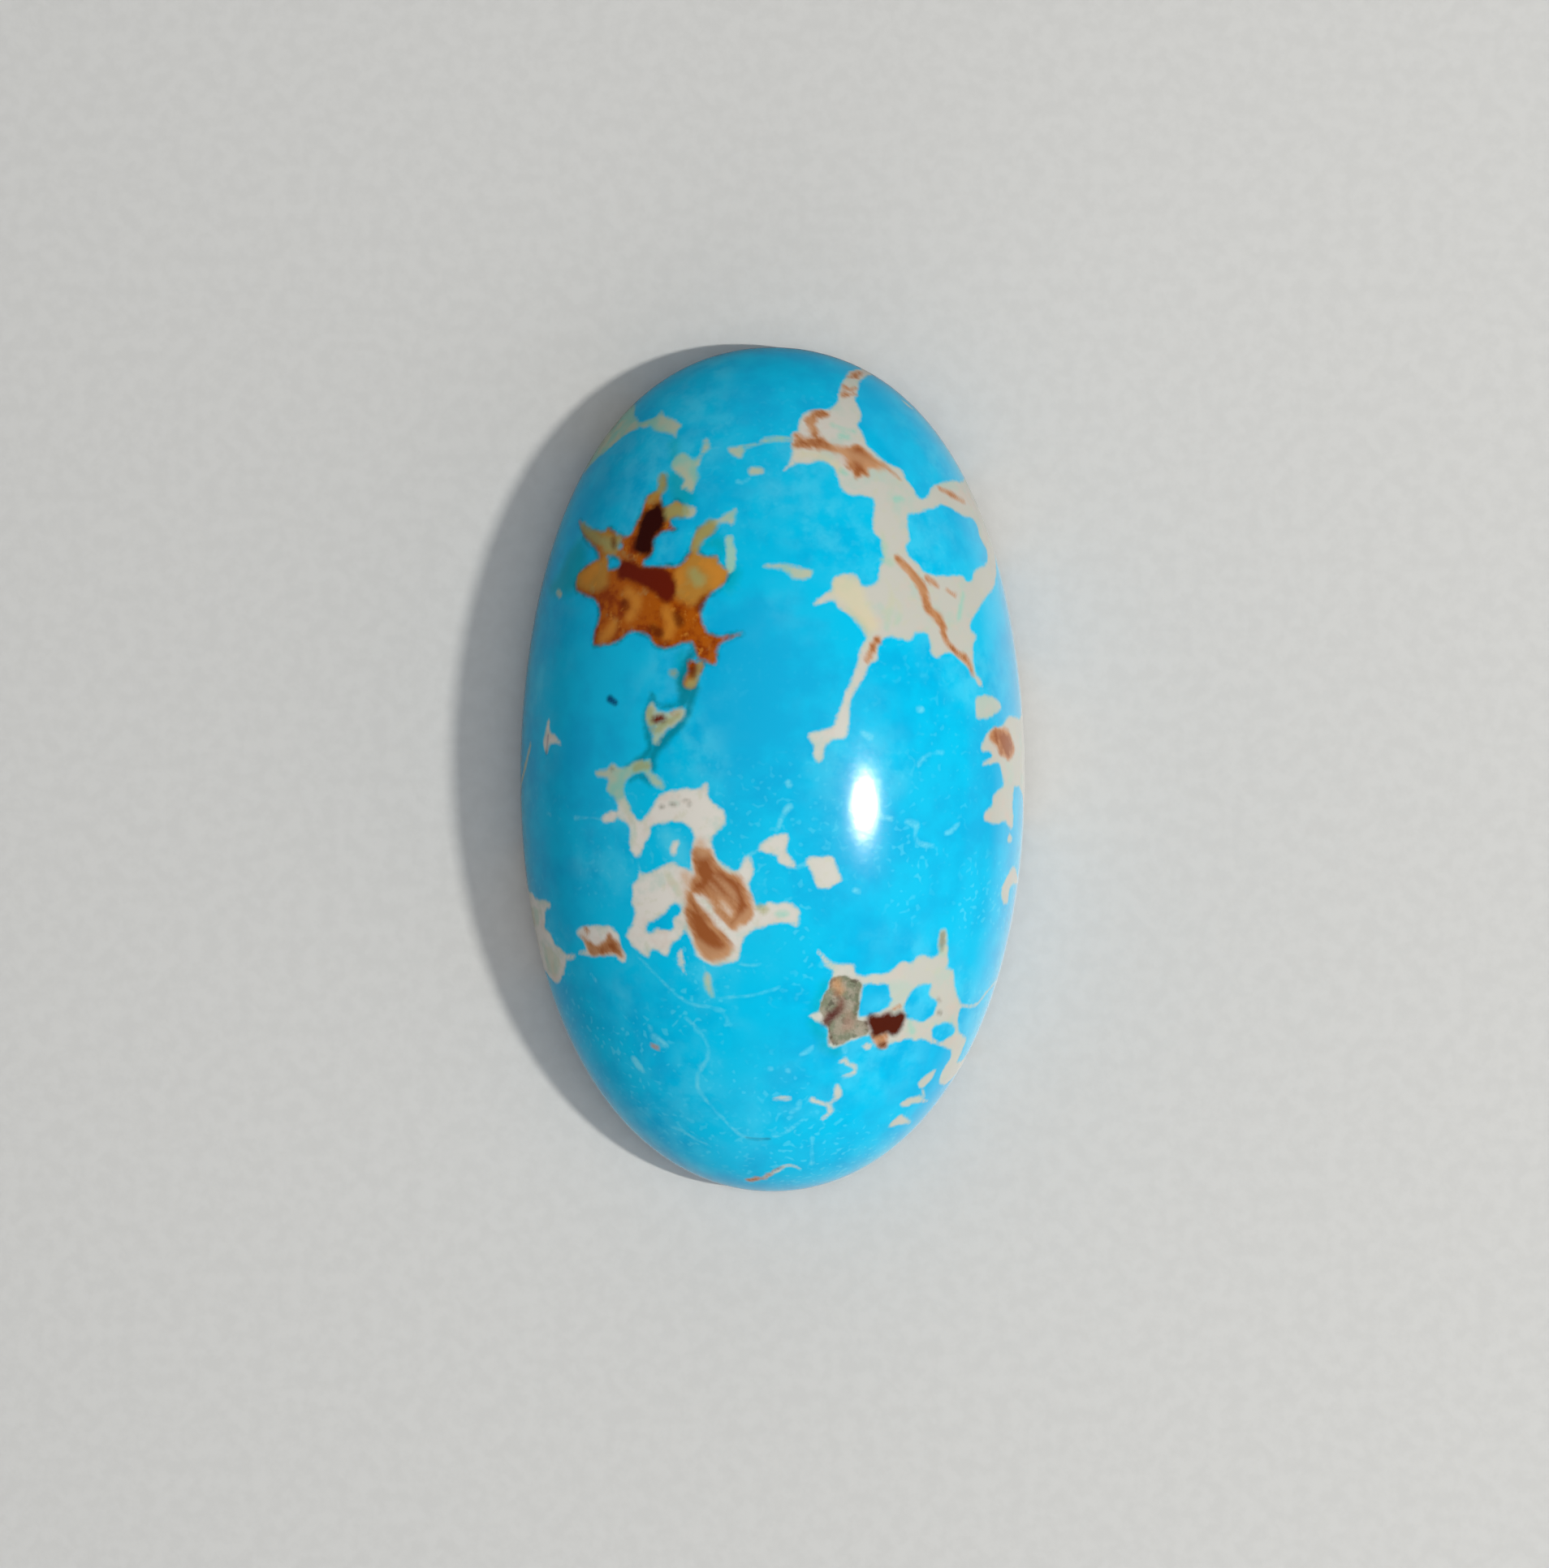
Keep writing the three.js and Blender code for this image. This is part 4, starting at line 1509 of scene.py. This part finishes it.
@dataclass(frozen=True)
class CreamMatrix:
    """The colour of the cream matrix: warmer at the left, clouded with pink and green, and darker towards the
    right by painted shade that holds back the stronger key light there.

    Attributes:
        left, right, sides: Its colour at the left, its colour at the right darkened by painted shade, and
            where they meet, in millimetres.
        pink, green, yellow, olive, glaze: The colours of its clouds, and of the turquoise that shows through.
        broad, small: The noises of the clouds.
        pinks, greens, olives: Where those clouds lie.
        rim: How the green gathers at the edge.
        yellow_cover: How much the yellow hides.
    """

    left: Colour = (209, 205, 198)
    # painted shade: the right-hand cream is darker to hold back the stronger key light on that side
    right: Colour = (177, 177, 169)
    sides: Step = Step(-4.5, 5.5)
    pink: Colour = (196, 170, 156)
    green: Colour = (150, 184, 172)
    yellow: Colour = (200, 190, 150)
    olive: Colour = (180, 182, 152)
    glaze: Colour = (96, 190, 170)
    broad: Grain = Grain(0.8, 31.0)
    small: Grain = Grain(0.32, 37.0)
    pinks: Step = Step(0.50, 0.72, 0.0, 0.38)
    greens: Step = Step(0.50, 0.70, 0.0, 0.42)
    olives: Step = Step(0.54, 0.72, 0.0, 0.30)
    rim: Step = Step(-0.14, 0.02, 0.0, 0.35)
    yellow_cover: float = 0.55

    def colour(self, recipe: Recipe, ragged: Socket, yellow: Socket, glaze: Socket) -> Socket:
        """Mixes the colour.

        Args:
            recipe: The material.
            ragged: The distance to the cream with its edge roughened, in millimetres.
            yellow: How yellow it is.
            glaze: How much of the turquoise shows through it.

        Returns:
            The colour.
        """
        broad = recipe.clouds(self.broad)
        small = recipe.clouds(self.small)
        # painted shade: the cream darkens towards the right, where the key light falls stronger
        colour = recipe.mix(recipe.rise(recipe.along(RIGHTWARD), self.sides), self.left, self.right)
        colour = recipe.mix(recipe.rise(broad[0], self.pinks), colour, self.pink)
        colour = recipe.mix(recipe.rise(broad[1], self.greens), colour, self.green)
        colour = recipe.mix(recipe.rise(small[2], self.olives), colour, self.olive)
        colour = recipe.mix(recipe.times(yellow, self.yellow_cover), colour, self.yellow)
        colour = recipe.mix(recipe.rise(ragged, self.rim), colour, self.green)
        return recipe.mix(glaze, colour, self.glaze)


@dataclass(frozen=True)
class RustLobes:
    """The burnt colours of the iron-stained lobes.

    Attributes:
        deep, rust, ochre, gold, moss: Its colours.
        broad, small, small_share: The noises of its clouds, and how much the small one counts.
        rusts: Where the clouds turn from the deep to the lighter rust.
        ochre_cover: How much the ochre hides.
        gold_layer, moss_layer: How the drawn gold and the drawn moss lie.
        gold_flecks, moss_clouds: Where the flecks of gold and the faint clouds of moss lie.
    """

    deep: Colour = (134, 52, 1)
    rust: Colour = (164, 82, 6)
    ochre: Colour = (176, 130, 54)
    gold: Colour = (196, 128, 44)
    moss: Colour = (150, 150, 94)
    broad: Grain = Grain(0.75, 61.0)
    small: Grain = Grain(0.28, 67.0)
    small_share: float = 0.45
    rusts: Step = Step(0.40, 0.56)
    ochre_cover: float = 0.8
    gold_layer: Layer = Layer(Tint.GOLD, Wobble.SECOND, 0.16, 0.75)
    moss_layer: Layer = Layer(Tint.MOSS, Wobble.SECOND, 0.14, 0.8)
    gold_flecks: Step = Step(0.56, 0.72, 0.0, 0.6)
    moss_clouds: Step = Step(0.58, 0.72, 0.0, 0.35)

    def colour(self, recipe: Recipe, wobbles: Sequence[Input], ochre: Socket) -> Socket:
        """Mixes the colour.

        Args:
            recipe: The material.
            wobbles: The noises that roughen the edges, in millimetres.
            ochre: How much of the ochre shows.

        Returns:
            The colour.
        """
        broad = recipe.clouds(self.broad)
        small = recipe.clouds(self.small)
        most = recipe.times(broad[0], 1 - self.small_share)
        tone = recipe.calc("MULTIPLY_ADD", small[0], self.small_share, most)
        colour = recipe.mix(recipe.rise(tone, self.rusts), self.deep, self.rust)
        colour = recipe.mix(recipe.times(ochre, self.ochre_cover), colour, self.ochre)
        gold = recipe.shown(self.gold_layer, wobbles)
        speckled = recipe.calc("MAXIMUM", gold, recipe.rise(small[1], self.gold_flecks))
        colour = recipe.mix(speckled, colour, self.gold)
        colour = recipe.mix(recipe.shown(self.moss_layer, wobbles), colour, self.moss)
        return recipe.mix(recipe.rise(broad[1], self.moss_clouds), colour, self.moss)


@dataclass(frozen=True)
class PocketFloor:
    """The lumpy floor of the rough pocket.

    Attributes:
        light, green, dark, tan: Its colours.
        lumps: The noise of its lumps.
        greens, darks: Where the green and the dark lie.
        tan_cover: How much the drawn tan hides.
    """

    light: Colour = (136, 129, 112)
    green: Colour = (106, 112, 90)
    dark: Colour = (66, 58, 44)
    tan: Colour = (178, 128, 80)
    lumps: Grain = Grain(0.34, 71.0, 2.0)
    greens: Step = Step(0.42, 0.60)
    darks: Step = Step(0.45, 0.33, 0.0, 0.7)
    tan_cover: float = 0.85

    def colour(self, recipe: Recipe, ochre: Socket) -> Socket:
        """Mixes the colour.

        Args:
            recipe: The material.
            ochre: How much of the ochre shows.

        Returns:
            The colour.
        """
        lumps = recipe.clouds(self.lumps)
        colour = recipe.mix(recipe.rise(lumps[0], self.greens), self.light, self.green)
        colour = recipe.mix(recipe.rise(lumps[1], self.darks), colour, self.dark)
        return recipe.mix(recipe.times(ochre, self.tan_cover), colour, self.tan)


@dataclass(frozen=True)
class PolishedTurquoise:
    """The finish of the stone: clouded blue turquoise with cream, ochre, rust and brown matrix.

    Attributes:
        blue, cream, lobes, floor: The finishes of the turquoise, the cream, the rust and the rough pocket.
        wash, rim: The teal wash beside the rust, and the dark teal line round it.
        olive_green, grey: The greener olive, and the grey matrix.
        thread, shade: Pale threads and dark lines; the dark also paints the shade in the winged pit.
        brown_dark, brown_light, tan, pocket_pink: The browns, the tan on them, and the tan in the pocket.
        stain, red, red_right, ember: The dark stains, the red one also at the right side of the stone.
        coarse, fine, fibres: The noises that roughen the edges.
        coarse_wobble, fine_wobble: How far the first two move an edge, in millimetres.
        fray, fray_back: How far the fibres move the edge of the brown, and how far it is drawn back for that.
        thread_wobble, thread_back: The same for the threads.
        rim_reach, patches, faint: How the dark line fades outwards, where it shows, and where threads show.
        olive_clouds, olives: The noise of the olive matrix, and where it turns greener.
        olive_cover, olive_in_cream: How much the olive hides, and how much less it does in the cream.
        brown_fibres, browns: How far the fibres reach into the brown, and where it turns lighter.
        reds: Where the reds of the two sides meet, in millimetres.
        index: How strongly the polish bends light.
        polish, matrix_polish, pocket_polish: Roughness of turquoise, matrix and pocket.
        polish_spread: How much the roughness varies.
        waves, wave_height: The noise of the polish's slow waves, and their height in millimetres.
        grain_height, pocket_height, matrix_depth: Relief of the matrix and the pocket, and how far the
            matrix lies under the polish, in millimetres.
    """

    blue: CloudedBlue = CloudedBlue()
    cream: CreamMatrix = CreamMatrix()
    lobes: RustLobes = RustLobes()
    floor: PocketFloor = PocketFloor()
    wash: Colour = (0, 152, 164)
    rim: Colour = (0, 112, 126)
    olive_green: Colour = (142, 186, 164)
    grey: Colour = (112, 110, 96)
    thread: Colour = (110, 204, 224)
    shade: Colour = (0, 36, 92)
    brown_dark: Colour = (140, 78, 38)
    brown_light: Colour = (176, 126, 86)
    tan: Colour = (188, 146, 108)
    pocket_pink: Colour = (148, 116, 98)
    stain: Colour = (92, 34, 2)
    red: Colour = (98, 24, 4)
    red_right: Colour = (72, 21, 6)
    ember: Colour = (46, 7, 2)
    coarse: Grain = Grain(0.30, 2.0, 4.0)
    fine: Grain = Grain(0.09, 7.0, 2.0)
    fibres: Grain = Grain(0.30, 41.0, 4.0, (2.6, 0.8, 1.0), -48.0)
    coarse_wobble: float = 0.18
    fine_wobble: float = 0.06
    fray: float = 0.30
    fray_back: float = 0.16
    thread_wobble: float = 0.10
    thread_back: float = 0.03
    rim_reach: Step = Step(0.17, 0.0)
    patches: Step = Step(0.38, 0.60, 0.25, 0.75)
    faint: Step = Step(0.38, 0.60, 0.25, 0.65)
    olive_clouds: Grain = Grain(0.9, 43.0, 2.0)
    olives: Step = Step(0.42, 0.62)
    olive_cover: float = 0.9
    olive_in_cream: float = 0.4
    brown_fibres: float = 0.7
    browns: Step = Step(0.08, 0.38)
    reds: Step = Step(0.0, 2.0)
    index: float = 1.61
    polish: float = 0.13
    matrix_polish: float = 0.20
    pocket_polish: float = 0.6
    polish_spread: float = 0.06
    waves: Grain = Grain(1.3, 51.0)
    wave_height: float = 0.006
    grain_height: float = 0.002
    pocket_height: float = 0.03
    matrix_depth: float = 0.002

    def material(self) -> bpy.types.Material:
        """Builds the whole finish.

        Returns:
            The material.
        """
        recipe = Recipe("polished_turquoise")
        coarse = recipe.clouds(self.coarse)
        fine = recipe.clouds(self.fine)
        wobbles = []
        for broad, small in zip(coarse, fine):
            lumps = recipe.calc("MULTIPLY_ADD", broad, self.coarse_wobble, -self.coarse_wobble / 2)
            centred = recipe.calc("ADD", lumps, -self.fine_wobble / 2)
            wobbles.append(recipe.calc("MULTIPLY_ADD", small, self.fine_wobble, centred))
        fibres = recipe.cloud(self.fibres)
        wobbles.append(recipe.calc("MULTIPLY_ADD", fibres, self.fray, -self.fray_back))
        wobbles.append(recipe.calc("MULTIPLY_ADD", coarse[0], self.thread_wobble, -self.thread_back))
        wobbles.append(0.0)
        shown = {layer.tint: recipe.shown(layer, wobbles) for layer in LAYERS}

        colour = recipe.mix(shown[Tint.WASH], self.blue.colour(recipe), self.wash)
        near_rust = recipe.calc("ADD", recipe.distance(Tint.RUST), wobbles[1])
        rimmed = recipe.times(recipe.rise(near_rust, self.rim_reach), recipe.rise(coarse[0], self.patches))
        colour = recipe.mix(rimmed, colour, self.rim)
        colour = recipe.mix(shown[Tint.TEAL], colour, self.rim)
        colour = recipe.mix(shown[Tint.VEIL], colour, self.blue.bloom)
        threads = recipe.times(shown[Tint.HAIR], recipe.rise(coarse[1], self.faint))
        colour = recipe.mix(threads, colour, self.thread)
        ragged = recipe.calc("ADD", recipe.distance(Tint.CREAM), wobbles[0])
        cream_colour = self.cream.colour(recipe, ragged, shown[Tint.OCHRE], shown[Tint.GLAZE])
        colour = recipe.mix(shown[Tint.CREAM], colour, cream_colour)
        greener = recipe.rise(recipe.cloud(self.olive_clouds), self.olives)
        olive_colour = recipe.mix(greener, self.cream.olive, self.olive_green)
        cover = recipe.calc("MULTIPLY_ADD", shown[Tint.CREAM], -self.olive_in_cream, self.olive_cover)
        # the olive also carries the painted shade along the chipped left edge
        colour = recipe.mix(recipe.times(shown[Tint.OLIVE], cover), colour, olive_colour)
        colour = recipe.mix(shown[Tint.MOSS], colour, self.lobes.moss)
        colour = recipe.mix(shown[Tint.GREY], colour, self.grey)
        colour = recipe.mix(shown[Tint.POCKET], colour, self.floor.colour(recipe, shown[Tint.OCHRE]))
        depth = recipe.calc("MULTIPLY_ADD", fibres, self.brown_fibres, recipe.distance(Tint.BROWN))
        brown_colour = recipe.mix(recipe.rise(depth, self.browns), self.brown_dark, self.brown_light)
        colour = recipe.mix(shown[Tint.BROWN], colour, brown_colour)
        tan_colour = recipe.mix(shown[Tint.POCKET], self.tan, self.pocket_pink)
        colour = recipe.mix(shown[Tint.TAN], colour, tan_colour)
        colour = recipe.mix(shown[Tint.RUST], colour, self.lobes.colour(recipe, wobbles, shown[Tint.OCHRE]))
        colour = recipe.mix(shown[Tint.STAIN], colour, self.stain)
        red_colour = recipe.mix(recipe.rise(recipe.along(RIGHTWARD), self.reds), self.red, self.red_right)
        colour = recipe.mix(shown[Tint.BLOOD], colour, red_colour)
        colour = recipe.mix(shown[Tint.EMBER], colour, self.ember)
        # dark lines and the dark blue dot, and the painted shade in the winged pit
        colour = recipe.mix(shown[Tint.DARK], colour, self.shade)

        solid = recipe.calc("MAXIMUM", shown[Tint.CREAM], shown[Tint.BROWN])
        matrix = recipe.calc("MAXIMUM", solid, shown[Tint.RUST])
        pocket = shown[Tint.POCKET]
        rough = recipe.calc("MULTIPLY_ADD", fine[0], self.polish_spread, self.polish - self.polish_spread / 2)
        rough = recipe.calc("MULTIPLY_ADD", matrix, self.matrix_polish - self.polish, rough)
        rough = recipe.calc("MULTIPLY_ADD", pocket, self.pocket_polish - self.matrix_polish, rough)
        waves = recipe.times(recipe.cloud(self.waves), self.wave_height)
        relief = recipe.calc("MULTIPLY_ADD", recipe.times(coarse[1], matrix), self.grain_height, waves)
        relief = recipe.calc("MULTIPLY_ADD", recipe.times(fine[1], pocket), self.pocket_height, relief)
        relief = recipe.calc("MULTIPLY_ADD", matrix, -self.matrix_depth, relief)
        bump = recipe.add("ShaderNodeBump", {"Strength": 1.0, "Distance": MM, "Height": relief})
        looks = {"Base Color": colour, "Roughness": rough, "IOR": self.index}
        looks["Normal"] = bump.outputs["Normal"]
        return recipe.finish("ShaderNodeBsdfPrincipled", "BSDF", looks)


@dataclass(frozen=True)
class PaleGround:
    """The finish of the floor: pale matt board with a faint tooth.

    Attributes:
        light, dark: Its two tones.
        tooth, tones: The noise of its grain, and where the tones meet in it.
        tooth_height, bump: Height of the grain, in millimetres, and how much of it shows.
        roughness: How matt it is.
    """

    light: Colour = (189, 190, 190)
    dark: Colour = (185, 186, 186)
    tooth: Grain = Grain(0.5, 3.0, 4.0)
    tones: Step = Step(0.35, 0.65)
    tooth_height: float = 0.02
    bump: float = 0.6
    roughness: float = 0.85

    def material(self) -> bpy.types.Material:
        """Builds the finish.

        Returns:
            The material.
        """
        recipe = Recipe("pale_ground")
        tooth = recipe.cloud(self.tooth)
        colour = recipe.mix(recipe.rise(tooth, self.tones), self.dark, self.light)
        height = recipe.times(tooth, self.tooth_height)
        bump = recipe.add("ShaderNodeBump", {"Strength": self.bump, "Distance": MM, "Height": height})
        looks = {"Base Color": colour, "Roughness": self.roughness, "Normal": bump.outputs["Normal"]}
        return recipe.finish("ShaderNodeBsdfPrincipled", "BSDF", looks)


@dataclass(frozen=True)
class MirroredGround:
    """What the polish mirrors in place of the floor: bright on the key light's side, dim on the other.

    Attributes:
        length: Length of its sides, in metres.
        depth: How far it lies under the floor, in metres.
        brighter: The direction in which it brightens.
        dim_at, bright_at: Where along that direction it is dim and bright, in millimetres.
        dim, bright: How bright it is at those places.
        fades_from, fades_to: How far from the middle it starts and ends to fade, in millimetres.
        far: How much of its brightness is left beyond that.
        colour: Its colour.
    """

    length: float = 1.2
    depth: float = 0.1 * MM
    brighter: Point = (0.93, -0.37, 0.0)
    dim_at: float = -8.0
    bright_at: float = 12.0
    dim: float = 0.12
    bright: float = 0.95
    fades_from: float = 9.0
    fades_to: float = 19.0
    far: float = 0.15
    colour: Colour = (255, 254, 250)

    def build(self) -> None:
        """Adds it, so that only reflections show it."""
        bpy.ops.object.select_all(action="DESELECT")
        bpy.ops.mesh.primitive_plane_add(size=self.length, location=(0, 0, -self.depth))
        ground = bpy.context.object
        ground.name = "mirrored_ground"
        ground.visible_camera = False
        ground.visible_diffuse = False
        ground.visible_shadow = False
        recipe = Recipe("mirrored_ground")
        place = recipe.along(self.brighter)
        near = recipe.rise(place, Step(self.dim_at, self.bright_at, self.dim, self.bright))
        away = recipe.add("ShaderNodeVectorMath", {0: recipe.places}, operation="LENGTH").outputs["Value"]
        fading = recipe.rise(away, Step(self.fades_from * MM, self.fades_to * MM, 1.0, self.far))
        glow = {"Color": self.colour, "Strength": recipe.times(near, fading)}
        ground.data.materials.append(recipe.finish("ShaderNodeEmission", "Emission", glow))


@dataclass(frozen=True)
class SoftLight:
    """A flat light that faces the stone.

    Attributes:
        name: Its name.
        towards: The direction from the stone to the light.
        distance: How far away it stands, in metres.
        size: Its width and height, in metres.
        watts: Its power.
        tint: Its colour.
        mirrored: Whether it shows in the polish.
    """

    name: str
    towards: tuple[float, float, float]
    distance: float
    size: tuple[float, float]
    watts: float
    tint: Colour = (255, 255, 255)
    mirrored: bool = True

    def build(self) -> None:
        """Adds the light."""
        direction = Vector(self.towards).normalized()
        turn = direction.to_track_quat("Z", "Y").to_euler()
        bpy.ops.object.light_add(type="AREA", location=direction * self.distance, rotation=turn)
        light = bpy.context.object
        light.name = self.name
        light.data.shape = "ELLIPSE"
        light.data.size, light.data.size_y = self.size
        light.data.energy = self.watts
        light.data.color = linear(self.tint)[:3]
        light.visible_glossy = self.mirrored


@dataclass(frozen=True)
class Studio:
    """The plain pale floor and the soft light round the stone.

    Attributes:
        floor_size: Length of the floor's sides, in metres.
        room: Colour of the room that the polish mirrors.
        room_strength: Brightness of the room.
        lights: The lights, the main one first.
    """

    floor_size: float = 1.2
    room: Colour = (205, 214, 222)
    room_strength: float = 0.05
    lights: tuple[SoftLight, ...] = (
        SoftLight("key_light", (0.585, -0.085, 0.81), 0.30, (0.006, 0.028), 0.64, (255, 251, 243)),
        SoftLight("overhead_fill", (0.05, -0.05, 1.0), 0.50, (0.60, 0.60), 1.1, mirrored=False),
        SoftLight("right_fill", (0.85, -0.35, 0.30), 0.45, (0.40, 0.40), 0.62, mirrored=False),
        SoftLight("front_fill", (0.05, -0.92, 0.35), 0.45, (0.40, 0.40), 0.67, mirrored=False),
        SoftLight("left_fill", (-0.95, 0.10, 0.25), 0.45, (0.40, 0.40), 0.29, mirrored=False),
        SoftLight("back_fill", (0.10, 0.92, 0.35), 0.45, (0.40, 0.40), 0.36, mirrored=False),
    )

    def build(self) -> None:
        """Adds the floor, the lights and the room."""
        bpy.ops.object.select_all(action="DESELECT")
        bpy.ops.mesh.primitive_plane_add(size=self.floor_size, location=(0, 0, 0))
        floor = bpy.context.object
        floor.name = "pale_floor"
        floor.data.materials.append(PaleGround().material())
        floor.visible_glossy = False
        MirroredGround(self.floor_size).build()
        for light in self.lights:
            light.build()
        scene = bpy.context.scene
        scene.world = bpy.data.worlds.new("studio_room")
        scene.world.use_nodes = True
        background = scene.world.node_tree.nodes["Background"]
        background.inputs["Color"].default_value = linear(self.room)
        background.inputs["Strength"].default_value = self.room_strength
        scene.view_settings.view_transform = "Standard"


def main() -> None:
    """Builds the camera, the stone and the studio, and reports each piece."""
    logging.basicConfig(level=logging.INFO, format="%(name)s: %(message)s")
    camera = Overhead()
    camera.build()
    low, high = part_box(CAD_NODE)
    stone = Cabochon(low, high, camera).build()
    stone.data.materials.append(PolishedTurquoise().material())
    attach(stone, "root")
    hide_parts(CAD_NODE)
    log.info("%s: %d points, %d faces", stone.name, len(stone.data.vertices), len(stone.data.polygons))
    studio = Studio()
    studio.build()
    log.info("studio: pale floor and %d lights", len(studio.lights))


if __name__ == "__main__":
    main()
